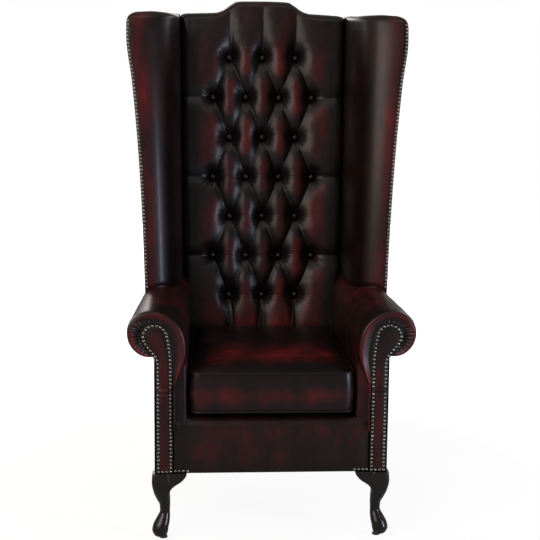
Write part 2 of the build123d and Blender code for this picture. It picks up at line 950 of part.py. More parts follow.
def arm_foam():
    inset = arm_cover_thickness + fit_gap
    inner_x = arm_inner_x + inset
    wires = []
    for y in (stump_front_y, arm_end_y - arm_cover_thickness):
        curve = arm_curve(y, inset, arm_wall_bottom)
        foot_z = roll_foot_z(y, inset)
        wall_x = inner_x + arm_foam_wall
        wires.append(closed(curve, (wall_x, y, foot_z), (wall_x, y, arm_wall_bottom)))
    foam = Solid.make_loft(wires, True)
    foam = foam - front_room() - back_room()
    return foam - arm_stump() - arm_rail() - wing_post()


def upright(wire, y_front, y_rear):
    """A plate with an outline in (x, z), from y_front back to y_rear."""
    plate = Solid.extrude(Face(wire), Vector(0, 0, y_rear - y_front))
    return front_plane * (Pos(0, 0, -y_rear) * plate)


def scroll_edges(inner_x, bottom, shoulder_z, head_x, head_z, radius, end):
    """The inner edge and the round head of a scroll, up to where the head ends."""
    first = math.radians(scroll_start_deg)
    middle = math.radians(scroll_middle_deg)

    def on_head(turn):
        return (head_x + radius * math.cos(turn), head_z + radius * math.sin(turn), 0)

    shoulder = (inner_x, shoulder_z, 0)
    return [
        line((inner_x, bottom, 0), shoulder),
        Edge.make_tangent_arc(Vector(*shoulder), Vector(0, 1, 0), Vector(*on_head(first))),
        arc(on_head(first), on_head((first + middle) / 2), on_head(middle)),
        arc(on_head(middle), on_head((middle + end) / 2), on_head(end)),
    ]


def stump_wire():
    x, z = roll_centre(stump_rear_y)
    radius = roll_radius(stump_rear_y) - arm_cover_thickness - stump_padding
    end = -math.pi / 2 - math.asin((roll_tuck + soft_gap) / radius)
    edges = scroll_edges(stump_inner_x, leg_height, stump_shoulder_z, x, z, radius, end)
    foot = edges[-1] @ 1
    return closed(edges, (foot.X, leg_height, 0))


def arm_stump():
    return upright(stump_wire(), stump_front_y, stump_rear_y)


def facing_edges(inset, bottom):
    """The facing's outline, or a line inside it, from its inner foot round to its outer foot."""
    turn = math.radians(-scroll_end_deg)
    radius = facing_head_radius
    neck = facing_neck_radius
    neck_x = facing_outer_x + neck
    end_x = facing_head_x + radius * math.cos(turn)
    end_z = facing_head_z - radius * math.sin(turn)
    bend_x = neck_x - neck * math.cos(turn)
    neck_z = end_z - (end_x - bend_x) / math.tan(turn) - neck * math.sin(turn)
    edges = scroll_edges(
        facing_inner_x + inset, bottom, facing_shoulder_z, facing_head_x, facing_head_z, radius - inset, -turn
    )

    def on_neck(angle):
        return (neck_x - (neck + inset) * math.cos(angle), neck_z + (neck + inset) * math.sin(angle), 0)

    edges.append(line(edges[-1] @ 1, on_neck(turn)))
    edges.append(arc(on_neck(turn), on_neck(turn / 2), on_neck(0)))
    edges.append(line(on_neck(0), (facing_outer_x - inset, bottom, 0)))
    return edges


def arm_facing():
    facing = upright(closed(facing_edges(0, leg_height)), face_y - facing_thickness, face_y)
    keep_pair("arm_facing", facing)
    nail_y = face_y - facing_thickness
    low = leg_height + nail_edge
    path = front_plane * (Pos(0, 0, -nail_y) * Wire(facing_edges(nail_edge, low)))
    heads = nails_on_wire(path, (0, -1, 0))
    inner = facing_inner_x + nail_edge
    outer = facing_outer_x - nail_edge
    foot = nails_on_wire(Wire([line((inner, nail_y, low), (outer, nail_y, low))]), (0, -1, 0))[1:-1]
    border_end = facing_inner_x - nail_edge
    border = nails_on_wire(
        Wire([line((border_end - base_row_length, face_y, low), (border_end, face_y, low))]), (0, -1, 0)
    )
    keep_both("front_nails", *heads, *foot, *border)


def outside_arm_panel():
    """The flat leather side of the chair, from the rail up to the roll and the wing."""
    gap = soft_gap
    top_y = arm_end_y + gap
    corners = [
        (face_y, leg_height), (face_y, panel_top_z(face_y)), (top_y, panel_top_z(top_y)),
        (top_y, wing_bottom - gap), (back_y(wing_bottom - gap, -post_depth), wing_bottom - gap),
        (rear_y, leg_height),
    ]
    return prism([(side_x(y), y, z) for y, z in corners], (-leather, 0, 0))


def arms():
    holes = dowel_holes() + leg_bores()
    keep_both("arm_stumps", arm_stump() - holes)
    keep_both("arm_rails", arm_rail())
    keep_both("tacking_rails", tacking_rail())
    keep_pair("arm_foam", arm_foam())
    keep_pair("arm_cover", arm_cover())
    keep_pair("outside_arm_panel", outside_arm_panel())
    arm_facing()


# Wings

def wing_levels(low):
    """The tilted sections of the wing, from low up to its top, each as height, front corner and slope."""
    slope = math.tan(math.radians(wing_tilt_deg))
    levels = []
    if low < wing_bottom:
        levels.append((low, wing_half_width_bottom, wing_front_y, 0))
    for rise, flare, setback in zip(wing_rise_shares, wing_flare_shares, wing_setback_shares):
        z = wing_bottom + (wing_top - wing_bottom) * rise
        x = wing_half_width_bottom + wing_flare * flare
        y = wing_front_y + wing_setback * setback
        levels.append((z, x, y, slope * rise))
    return levels


def on_level(level, x, y):
    z, _, front_y, slope = level
    return Vector(x, y, z + slope * (y - front_y))


def level_at_depth(level, n, width):
    """The point of a level on the plane n of the back, at the half width that width gives for its s."""
    z, _, front_y, slope = level
    rise = z - leg_height - n * rake_sin + slope * (frame_y - n * rake_cos - front_y)
    s = rise / (rake_cos - slope * rake_sin)
    return back_point(width(s), s, n)


def back_half_width(s):
    return base_half_width_rear + (back_half_width_top - base_half_width_rear) * s / roll_middle_s


def wing_line(level):
    """The front corner, the direction to the rear corner, the direction inwards, and the length."""
    _, x, y, _ = level
    rear = level_at_depth(level, -post_depth, back_half_width)
    length = math.hypot(rear.X - x, rear.Y - y)
    run = ((rear.X - x) / length, (rear.Y - y) / length)
    return (x, y), run, (-run[1], run[0]), length


def wing_point(level, distance, depth):
    """A point of a level, so far from the front corner along the outside, and so deep inside it."""
    corner, run, inward, _ = wing_line(level)
    x = corner[0] + run[0] * distance + inward[0] * depth
    y = corner[1] + run[1] * distance + inward[1] * depth
    return on_level(level, x, y)


def wing_strip(levels, start, end, near, far):
    """A flat strip of the wing, parallel to its outside. With no end it runs to the rear."""
    wires = []
    for level in levels:
        last = end or wing_line(level)[3]
        points = [
            wing_point(level, start, near), wing_point(level, last, near),
            wing_point(level, last, far), wing_point(level, start, far),
        ]
        wires.append(Wire.make_polygon(points, close=True))
    return Solid.make_loft(wires, True)


def inside_path(level, skin):
    """The front band and the stuffed inside of a level, skin deep under the leather."""
    _, x, y, _ = level
    join_n = pad_front_n + soft_gap
    join = level_at_depth(level, join_n, lambda s: pad_half_width(s) + wing_join_gap + skin)
    start = (x - wing_band_width + skin / 2, y + skin)
    surface = level_at_depth(level, join_n, lambda s: pad_half_width(s) + wing_join_gap)
    chord = (surface.X - (x - wing_band_width), surface.Y - y)
    length = math.hypot(*chord)
    normal = (-chord[1] / length, chord[0] / length)
    reach_in = wing_bulge - skin
    middle_x = x - wing_band_width + chord[0] / 2 + normal[0] * reach_in
    middle_y = y + chord[1] / 2 + normal[1] * reach_in
    front = wing_point(level, skin, 0)
    start = on_level(level, *start)
    return [
        Edge.make_line(front, start),
        Edge.make_three_point_arc(start, on_level(level, middle_x, middle_y), join),
    ]


def post_corners(level):
    """How a level goes round the back post: along the pad, in front of the post and down its side."""
    outside = post_outer_x + soft_gap
    return [
        level_at_depth(level, soft_gap, lambda s: pad_half_width(s) + wing_join_gap),
        level_at_depth(level, soft_gap, lambda s: outside),
        level_at_depth(level, -post_depth, lambda s: outside),
    ]


def wing_block(skin):
    """The wing's whole body, skin deep under its leather."""
    wires = []
    for level in wing_levels(wing_bottom):
        path = inside_path(level, skin)
        length = wing_line(level)[3]
        points = [path[-1] @ 1, *post_corners(level), wing_point(level, length, skin)]
        if skin:
            points.append(wing_point(level, skin + wing_fold, skin))
            path[0] = Edge.make_line(points[-1], path[0] @ 1)
        points.append(path[0] @ 0)
        edges = path + [Edge.make_line(start, end) for start, end in zip(points, points[1:]) if start != end]
        wires.append(Wire(edges))
    return Solid.make_loft(wires, True)


def wing_skin():
    """The leather over the front band and the inside of the wing."""
    wires = []
    for level in wing_levels(wing_bottom):
        outer = inside_path(level, 0)
        inner = inside_path(level, leather)
        ends = [Edge.make_line(outer[-1] @ 1, inner[-1] @ 1), Edge.make_line(inner[0] @ 0, outer[0] @ 0)]
        wires.append(Wire(outer + inner + ends))
    return Solid.make_loft(wires, True)


def above_wing(drop):
    """Everything above the wing's tilted top, less drop."""
    tilt = math.radians(wing_tilt_deg)
    _, _, front_y, _ = wing_levels(wing_bottom)[-1]
    plane = Plane(
        origin=(0, front_y, wing_top - drop), x_dir=(1, 0, 0), z_dir=(0, -math.sin(tilt), math.cos(tilt))
    )
    return plane * between((-reach, -reach, 0), (reach, reach, reach))


def above_roll():
    """Everything over the rear of the crest roll at its shoulder, which rounds the wing's rear corner too."""
    shoulder = crest_top_s - crest_shoulder_drop - crest_roll_height
    points = []
    for share in roll_turn_shares:
        if share >= 0.5:
            turn = math.pi * share
            n = roll_middle_n + roll_half_depth * math.cos(turn)
            points.append(back_point(0, shoulder + crest_roll_height * math.sin(turn), n))
    top = shoulder + crest_roll_height + overrun
    points.append(back_point(0, shoulder, -post_depth - overrun))
    points.append(back_point(0, top, -post_depth - overrun))
    points.append(back_point(0, top, roll_middle_n))
    return prism([tuple(point) for point in points], (reach, 0, 0))


def wing_post():
    """The wooden post behind the wing's front edge, from the arm rail up to the wing's top."""
    inset = leather + soft_gap
    levels = wing_levels(wing_post_bottom)
    start = wing_post_inset
    post = wing_strip(levels, start, start + wing_post_width, inset, inset + wing_post_thickness)
    return post - above_wing(wing_cap_thickness) - arm_rail()


def wing_top_rail():
    inset = leather + soft_gap
    start = wing_post_inset + wing_post_width
    rail = wing_strip(wing_levels(wing_bottom)[3:], start, None, inset, inset + wing_post_thickness)
    rail = rail & above_wing(wing_cap_thickness + wing_top_rail_height)
    return rail - above_wing(wing_cap_thickness) - behind_back(0) - above_roll()


def wing_nails():
    """Dome nails down the wing's front band, from its top corner to the arm."""
    levels = wing_levels(wing_bottom)
    points = [Vector(x - nail_edge, y, z) for z, x, y, _ in levels[:-1]]
    start = roll_centre(wing_front_y)[1] + roll_radius(wing_front_y)
    share = (start - points[0].Z) / (points[1].Z - points[0].Z)
    points[0] = points[0] + (points[1] - points[0]) * share
    heads = []
    path = Wire.make_polygon(points, close=False)
    count = round(path.length / nail_pitch)
    for index in range(count + 1):
        run = path % (index / count)
        heads.append(nail(tuple(path @ (index / count)), (0, -run.Z, run.Y)))
    return heads


def wings():
    room = [arm_block(-soft_gap, arm_wall_bottom, stump_front_y, arm_end_y + soft_gap), above_roll(), arm_rail()]
    cap_low = above_wing(wing_cap_thickness)
    pad = wing_block(leather) - room - cap_low - wing_post() - wing_top_rail() - behind_back(-post_depth)
    panel = wing_strip(wing_levels(wing_bottom), leather + wing_fold, None, 0, leather)
    keep_both("wing_posts", wing_post())
    keep_both("wing_top_rails", wing_top_rail())
    keep_pair("wing_pad", pad)
    keep_pair("inside_wing_cover", wing_skin() - room - cap_low)
    keep_pair("outside_wing_panel", panel - room - cap_low - behind_back(-post_depth))
    keep_pair("wing_cap", (wing_block(0) & cap_low) - room - behind_back(-post_depth))
    keep_both("wing_nails", *wing_nails())


# Seat cushion

cushion_front_y = face_y - cushion_front_overhang + piping_radius
cushion_rear_y = back_y(cushion_bottom_seam, pad_front_n) - cushion_back_gap


def cushion_wire(z, inset):
    """The cushion's rounded outline at height z."""
    width = 2 * (cushion_half_width - inset)
    depth = cushion_rear_y - cushion_front_y - 2 * inset
    middle = (cushion_rear_y + cushion_front_y) / 2
    return (Pos(0, middle, z) * RectangleRounded(width, depth, cushion_corner)).wires()[0]


def cushion_body(skin):
    """The whole cushion with its crowned top and drawn-in sides, skin deep under its surface."""
    wires = []
    drop = cushion_bottom_seam - deck_top - soft_gap - skin
    for rise, inset in zip(reversed(bottom_rise_shares), reversed(bottom_inset_shares)):
        wires.append(cushion_wire(cushion_bottom_seam - drop * rise, bottom_round_width * inset + skin))
    tall = cushion_top_seam - cushion_bottom_seam
    for index, share in enumerate(border_bulge_shares):
        z = cushion_bottom_seam + tall * index / (len(border_bulge_shares) - 1)
        wires.append(cushion_wire(z, skin - cushion_border_bulge * share))
    for rise, inset in zip(crown_rise_shares, crown_inset_shares):
        wires.append(cushion_wire(cushion_top_seam + (cushion_crown - skin) * rise, crown_width * inset + skin))
    return Solid.make_loft(wires, True)


def piping(z):
    """The corded seam round the cushion."""
    path = cushion_wire(z, -piping_radius - fit_gap)
    start = path @ 0
    section = Plane(origin=start, z_dir=path % 0) * Circle(piping_radius)
    return sweep(section, path)


zip_z = (cushion_bottom_seam + cushion_top_seam) / 2
zip_wall_y = cushion_rear_y + cushion_border_bulge
tape_y = zip_wall_y - cushion_skin - zip_tape_gap


def across_zip(length, height, y_low, y_high):
    """A box centred on the zip."""
    return between((-length / 2, y_low, zip_z - height / 2), (length / 2, y_high, zip_z + height / 2))


def zip_slider():
    """The slider at the closed end of the zip, with its pull."""
    x = (slider_length - zip_length) / 2 + zip_running_gap
    low = zip_wall_y + zip_running_gap
    body = across_zip(slider_length, slider_width, low, low + slider_plate)
    outer = zip_chain_width + 2 * (zip_running_gap + slider_wall)
    inner = zip_chain_width + 2 * zip_running_gap
    walls = across_zip(slider_length, outer, tape_y + zip_running_gap, low)
    walls = walls - across_zip(2 * slider_length, inner, tape_y, low)
    pull = between(
        (-pull_width / 2, low + slider_plate, zip_z - pull_length),
        (pull_width / 2, low + slider_plate + pull_thickness, zip_z),
    )
    return Pos(x, 0, 0) * (body + walls + pull)


def seat_cushion():
    shell = cushion_body(0) - cushion_body(cushion_skin)
    above_top = between((-reach, -reach, cushion_top_seam), (reach, reach, reach))
    below_bottom = between((-reach, -reach, -reach), (reach, reach, cushion_bottom_seam))
    slot = across_zip(zip_length, zip_slot_width, cushion_rear_y - cushion_corner, reach)
    keep("cushion_top_panel", shell & above_top)
    keep("cushion_border", shell - above_top - below_bottom - slot)
    keep("cushion_bottom_panel", shell & below_bottom)
    keep("top_piping", piping(cushion_top_seam))
    keep("bottom_piping", piping(cushion_bottom_seam))
    tape_low = tape_y - zip_tape_thickness
    relief = across_zip(zip_length + 2 * soft_gap, zip_tape_width + 2 * soft_gap, tape_low - soft_gap, reach)
    keep("cushion_foam", cushion_body(cushion_skin + soft_gap) - relief)
    tape = across_zip(zip_length, zip_tape_width, tape_low, tape_y)
    chain = across_zip(zip_length, zip_chain_width, tape_y, zip_wall_y)
    keep("cushion_zip", tape + chain)
    keep("zip_slider", zip_slider())


# Legs

leg_outer_x = base_half_width_front + leg_reach
leg_front_y = -overall_depth / 2
post_middle_x = (post_inner_x + post_outer_x) / 2


def front_leg_levels():
    """The height, width and middle of each section of the cabriole leg."""
    levels = []
    for drop, sway, width_share in zip(leg_drop_shares, leg_sway_shares, leg_width_shares):
        z = leg_height - (leg_height - glide_thickness) * drop
        away = leg_sway * (1 - sway)
        width = leg_block_width * width_share
        levels.append((z, width, leg_outer_x - away - width / 2, leg_front_y + away + width / 2))
    return levels


def leg_bolts():
    """The upright bolts of the right-hand legs, as foot, top and radius."""
    front_x = front_leg_levels()[0][2]
    front_y = (stump_front_y + stump_rear_y) / 2
    top = leg_height + bolt_length - bolt_in_leg
    rear_middle_y = back_y((leg_height + top) / 2, -post_depth / 2)
    return [
        ((front_x, front_y, leg_height - bolt_in_leg), (front_x, front_y, top)),
        ((post_middle_x, rear_middle_y, leg_height - rear_bolt_in_leg), (post_middle_x, rear_middle_y, top)),
    ]


def leg_bores():
    """The holes of bolts and insert nuts."""
    holes = []
    for foot, top in leg_bolts():
        holes.append(rod((*foot[:2], foot[2] - fit_gap), (*top[:2], top[2] + fit_gap), bolt_radius + fit_gap))
        holes.append(
            rod((*foot[:2], leg_height), (*foot[:2], leg_height + nut_height + fit_gap), nut_radius + fit_gap)
        )
    return holes


def ear():
    """The bracket beside the knee, in the plane of the front."""
    _, width, x, _ = front_leg_levels()[0]
    inner = x - width / 2
    points = []
    for across, down in ear_shares:
        points.append((inner - ear_width * (1 - across), leg_height - ear_drop * down, 0))
    deep = (inner + width / 2, points[-1][1], 0)
    edges = [arc(points[0], points[1], points[2]), arc(points[2], points[3], points[4])]
    edges.append(line(points[4], deep))
    wire = closed(edges, (deep[0], leg_height, 0))
    front = leg_front_y + ear_setback
    return upright(wire, front, front + ear_thickness)


def glide(x, y):
    disc = Solid.make_cylinder(glide_radius, glide_thickness)
    pin = Solid.make_cylinder(glide_pin_radius, glide_thickness + glide_pin_length)
    return Pos(x, y, 0) * (disc + pin)


def glide_hole(x, y):
    length = glide_thickness + glide_pin_length + fit_gap
    return Pos(x, y, 0) * Solid.make_cylinder(glide_pin_radius + fit_gap, length)


def rear_leg_middles():
    """The middle of the rear leg at its top and at its foot."""
    top_y = back_y(leg_height, -post_depth / 2)
    return (post_middle_x, top_y), (post_middle_x, top_y + rear_leg_sweep)


def legs():
    sections = []
    for z, width, x, y in front_leg_levels():
        sections.append((Pos(x, y, z) * RectangleRounded(width, width, width * leg_round_share)).wires()[0])
    leg = Solid.make_loft(sections, False)
    corner = Plane(origin=(leg_outer_x, leg_front_y, 0), z_dir=(1, 1, 0))
    leg = leg + ear() + mirror(ear(), about=corner)
    _, _, foot_x, foot_y = front_leg_levels()[-1]
    keep_pair("front_leg", leg - leg_bores() - glide_hole(foot_x, foot_y))
    top, foot = rear_leg_middles()
    rear_sections = []
    for (x, y), width, z in ((foot, rear_leg_bottom, glide_thickness), (top, rear_leg_top, leg_height)):
        rear_sections.append((Pos(x, y, z) * Rectangle(width, width)).wires()[0])
    rear = Solid.make_loft(rear_sections, True)
    keep_pair("rear_leg", rear - leg_bores() - glide_hole(*foot))
    keep_both("floor_glides", glide(foot_x, foot_y), glide(*foot))
    nuts = []
    for low, _ in leg_bolts():
        base = (*low[:2], leg_height)
        nut = rod(base, (*low[:2], leg_height + nut_height), nut_radius)
        nuts.append(nut - rod(base, (*low[:2], leg_height + nut_height), bolt_radius + fit_gap))
    bolts = [rod(low, high, bolt_radius) for low, high in leg_bolts()]
    keep_both("leg_bolts", *bolts, *nuts)


seat_rails()
corner_blocks()
dust_cover()
seat_springs()
seat_deck()
front_border()
back_frame()
back_layers()
buttons()
outside_back_panel()
arms()
wings()
seat_cushion()
legs()

os.makedirs("parts", exist_ok=True)
for name, solids in parts.items():
    export_step(Compound(children=solids) if len(solids) > 1 else solids[0], f"parts/{name}.step")
print(len(parts), "sub-parts")
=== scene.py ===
# A high back wing chair in antique oxblood leather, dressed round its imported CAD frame.
import json
import math

import bmesh
import bpy
import numpy as np
from mathutils import Matrix, Vector, noise


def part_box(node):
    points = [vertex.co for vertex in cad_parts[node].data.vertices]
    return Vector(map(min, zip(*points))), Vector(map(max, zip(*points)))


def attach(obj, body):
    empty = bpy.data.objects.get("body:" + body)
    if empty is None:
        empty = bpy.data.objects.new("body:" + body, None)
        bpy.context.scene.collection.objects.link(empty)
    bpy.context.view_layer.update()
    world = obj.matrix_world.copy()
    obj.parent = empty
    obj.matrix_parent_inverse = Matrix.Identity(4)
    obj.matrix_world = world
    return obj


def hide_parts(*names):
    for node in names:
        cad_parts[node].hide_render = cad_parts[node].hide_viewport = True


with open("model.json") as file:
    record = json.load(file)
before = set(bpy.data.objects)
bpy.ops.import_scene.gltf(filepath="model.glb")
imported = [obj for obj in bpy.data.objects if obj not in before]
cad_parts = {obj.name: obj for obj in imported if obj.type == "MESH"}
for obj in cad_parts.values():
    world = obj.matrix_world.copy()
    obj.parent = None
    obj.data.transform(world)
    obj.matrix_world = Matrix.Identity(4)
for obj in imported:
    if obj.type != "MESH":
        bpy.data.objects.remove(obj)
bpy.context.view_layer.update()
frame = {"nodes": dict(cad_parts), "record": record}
nodes = frame["nodes"]

# Sizes are in millimetres, as on a workshop drawing, and turn into metres when a mesh is made.
chair = {
    "legHeight": 187.0, "rakeDeg": 6.0, "frameY": 213.591, "faceY": -383.0, "rearY": 255.823,
    "halfWidthFront": 316.0, "halfWidthRear": 292.0, "halfWidthTop": 298.0, "postTop": 1307.349,
    "postDepth": 42.0, "crestTop": 1337.349, "railDrop": 30.6, "padFront": 85.0,
}
rakeSin = math.sin(math.radians(chair["rakeDeg"]))
rakeCos = math.cos(math.radians(chair["rakeDeg"]))
faceY = chair["faceY"]
sideWord = {1: "right", -1: "left"}  # as seen from the front, by the sign of x


# Small tools

def lerp(a, b, share):
    return a + (b - a) * share


def ease(low, high, value):
    share = np.clip((np.asarray(value, float) - low) / (high - low), 0, 1)
    return share * share * (3 - 2 * share)


def softCurve(knots, values, at):  # a smooth curve through knots that never overshoots them
    knots, values = np.asarray(knots, float), np.asarray(values, float)
    steps = np.diff(values) / np.diff(knots)
    slopes = np.zeros(len(knots))
    slopes[0], slopes[-1] = steps[0], steps[-1]
    same = steps[:-1] * steps[1:] > 0
    slopes[1:-1][same] = 2 * steps[:-1][same] * steps[1:][same] / (steps[:-1] + steps[1:])[same]
    at = np.clip(np.asarray(at, float), knots[0], knots[-1])
    i = np.clip(np.searchsorted(knots, at, side="right") - 1, 0, len(knots) - 2)
    width = knots[i + 1] - knots[i]
    t = (at - knots[i]) / width
    a, b = values[i], values[i + 1]
    return (
        a * (1 + 2 * t) * (1 - t) ** 2 + b * t * t * (3 - 2 * t)
        + width * (slopes[i] * t * (1 - t) ** 2 - slopes[i + 1] * t * t * (1 - t))
    )


def wander(points, size, shift=0.0):  # smooth noise from -1 to 1, about size across
    flat = np.asarray(points, float).reshape(-1, 3) / size + shift
    values = [noise.noise(Vector(p)) for p in flat]
    return np.array(values).reshape(np.asarray(points).shape[:-1])


def backPoint(x, s, n):  # x across, s up the rake from the seat rail's foot, n forward of the back frame
    x, s, n = np.broadcast_arrays(np.asarray(x, float), np.asarray(s, float), np.asarray(n, float))
    y = chair["frameY"] + s * rakeSin - n * rakeCos
    z = chair["legHeight"] + s * rakeCos + n * rakeSin
    return np.stack([x, y, z], -1)


def alongSide(front, rear, y):
    return front + (rear - front) * (y - faceY) / (chair["rearY"] - faceY)


def sideX(y):
    return alongSide(chair["halfWidthFront"], chair["halfWidthRear"], y)


def atDepth(plan, y):  # a line of x and z stood at y
    return np.column_stack([plan[:, 0], np.zeros(len(plan)) + y, plan[:, 1]])


def mirrored(points):
    return np.asarray(points) * np.array([-1.0, 1.0, 1.0])


def gridNormals(points):
    down, across = np.gradient(points, axis=0), np.gradient(points, axis=1)
    normals = np.cross(down, across)
    return normals / np.maximum(np.linalg.norm(normals, axis=-1, keepdims=True), 1e-9)


def nearestOn(path, points):  # for each point, the nearest point of a polyline
    best, far = np.zeros_like(points), np.full(len(points), 1e9)
    for start, end in zip(path[:-1], path[1:]):
        run = end - start
        share = np.clip((points - start) @ run / max(run @ run, 1e-9), 0, 1)
        near = start + share[:, None] * run
        away = np.linalg.norm(points - near, axis=1)
        closer = away < far
        best[closer], far[closer] = near[closer], away[closer]
    return best


def evenPoints(path, pitch):  # points at an even pitch along a polyline, both ends included
    path = np.asarray(path, float)
    lengths = np.concatenate([[0], np.cumsum(np.linalg.norm(np.diff(path, axis=0), axis=1))])
    count = max(int(round(lengths[-1] / pitch)), 1)
    at = np.linspace(0, lengths[-1], count + 1)
    return np.stack([np.interp(at, lengths, path[:, axis]) for axis in range(3)], -1)


def roundedRectangle(centreX, centreY, halfX, halfY, radius, steps):
    path = []
    for signX, signY, start in ((1, 1, 0), (-1, 1, 90), (-1, -1, 180), (1, -1, 270)):
        for turn in np.radians(np.linspace(start, start + 90, steps)):
            x = centreX + signX * (halfX - radius) + radius * math.cos(turn)
            path.append((x, centreY + signY * (halfY - radius) + radius * math.sin(turn)))
    return path


def toLinear(hexColour):
    parts = [int(hexColour[i:i + 2], 16) / 255 for i in (1, 3, 5)]
    linear = [c / 12.92 if c <= 0.04045 else ((c + 0.055) / 1.055) ** 2.4 for c in parts]
    return (*linear, 1.0)


def addObject(name, data):
    holder = bpy.data.objects.new(name, data)
    bpy.context.scene.collection.objects.link(holder)
    return holder


# Points are in millimetres. The values are what the leather reads: how rubbed it is, and how much painted
# shade, partly dark wax, it takes in folds, seams and joins.
def makeMesh(name, points, faces, material, values=None):
    mesh = bpy.data.meshes.new(name)
    mesh.from_pydata((np.asarray(points) * 0.001).tolist(), [], [tuple(f) for f in faces])
    for key, numbers in (values or {}).items():
        layer = mesh.attributes.new(key, "FLOAT", "POINT")
        layer.data.foreach_set("value", np.asarray(numbers, np.float32).ravel())
    shell = bmesh.new()
    shell.from_mesh(mesh)
    bmesh.ops.remove_doubles(shell, verts=shell.verts, dist=1e-6)
    bmesh.ops.recalc_face_normals(shell, faces=shell.faces)
    shell.to_mesh(mesh)
    shell.free()
    mesh.shade_smooth()
    mesh.materials.append(material)
    return addObject(name, mesh)


def gridFaces(rows, columns, wrap=False):
    index = np.arange(rows * columns).reshape(rows, columns)
    if wrap:
        index = np.hstack([index, index[:, :1]])
    a, b, c, d = index[:-1, :-1], index[:-1, 1:], index[1:, 1:], index[1:, :-1]
    return np.stack([a, b, c, d], -1).reshape(-1, 4).tolist()


# A closed skin over closed loops, capped at both ends.
def loftLoops(name, loops, material, values=None, thin=False):
    loops = np.asarray(loops, float)
    rows, columns, _ = loops.shape
    faces = gridFaces(rows, columns, wrap=True)
    first, last = list(range(columns)), list(range((rows - 1) * columns, rows * columns))
    if thin:  # a sheet's edge is closed by a strip from its outer side to its inner side
        for a in range(columns // 2 - 1):
            b = columns - 1 - a
            faces.append([first[a], first[b], first[b - 1], first[a + 1]])
            faces.append([last[a], last[a + 1], last[b - 1], last[b]])
    else:
        faces += [first[::-1], last]
    return makeMesh(name, loops.reshape(-1, 3), faces, material, values)


def dress(piece, body, slotName, *replaced, fill=None):
    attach(piece, body)
    if replaced:
        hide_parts(*replaced)


# A leather piece that each side of the chair has: drawn on the right, mirrored for the left.
def dressSide(side, name, loops, values, parts, fill, thin=False):
    loops = mirrored(loops) if side < 0 else loops
    piece = loftLoops(sideWord[side] + name, loops, leather, values, thin)
    dress(piece, "chair", "leather", *[sideWord[side] + "_" + part for part in parts], fill=fill)


# Materials

# One node with its settings and links. The stops are the places and colours of a ramp.
def addNode(tree, kind, inputs=None, stops=(), **settings):
    node = tree.nodes.new(kind)
    for key, value in settings.items():
        setattr(node, key, value)
    for key, value in (inputs or {}).items():
        if isinstance(value, bpy.types.NodeSocket):
            tree.links.new(value, node.inputs[key])
        else:
            node.inputs[key].default_value = value
    for _ in stops[2:]:
        node.color_ramp.elements.new(0.5)
    for number, (place, colour) in enumerate(stops):
        node.color_ramp.elements[number].position = place
        node.color_ramp.elements[number].color = toLinear(colour)
    return node


def newMaterial(name):
    material = bpy.data.materials.new(name)
    material.use_nodes = True
    tree = material.node_tree
    tree.nodes.clear()
    shader = addNode(tree, "ShaderNodeBsdfPrincipled")
    addNode(tree, "ShaderNodeOutputMaterial", {"Surface": shader.outputs["BSDF"]})
    return material, tree, shader


leatherLook = {
    "dark": "#0d0706", "brown": "#200d0c", "oxblood": "#471113", "rubbed": "#802023", "waxAndShadeTone": "#050303",
    "stops": (0.08, 0.34, 0.62, 0.95), "patchMm": 85, "patchSpread": 1.25, "streak": (1.0, 1.0, 0.45),
    "grainMm": 1.5, "grainBump": 0.12, "creaseMm": 14, "creaseBump": 0.14,
    "roughness": 0.39, "waxSpread": 0.22, "specular": 0.31, "coat": 0.08, "coatRoughness": 0.25,
}


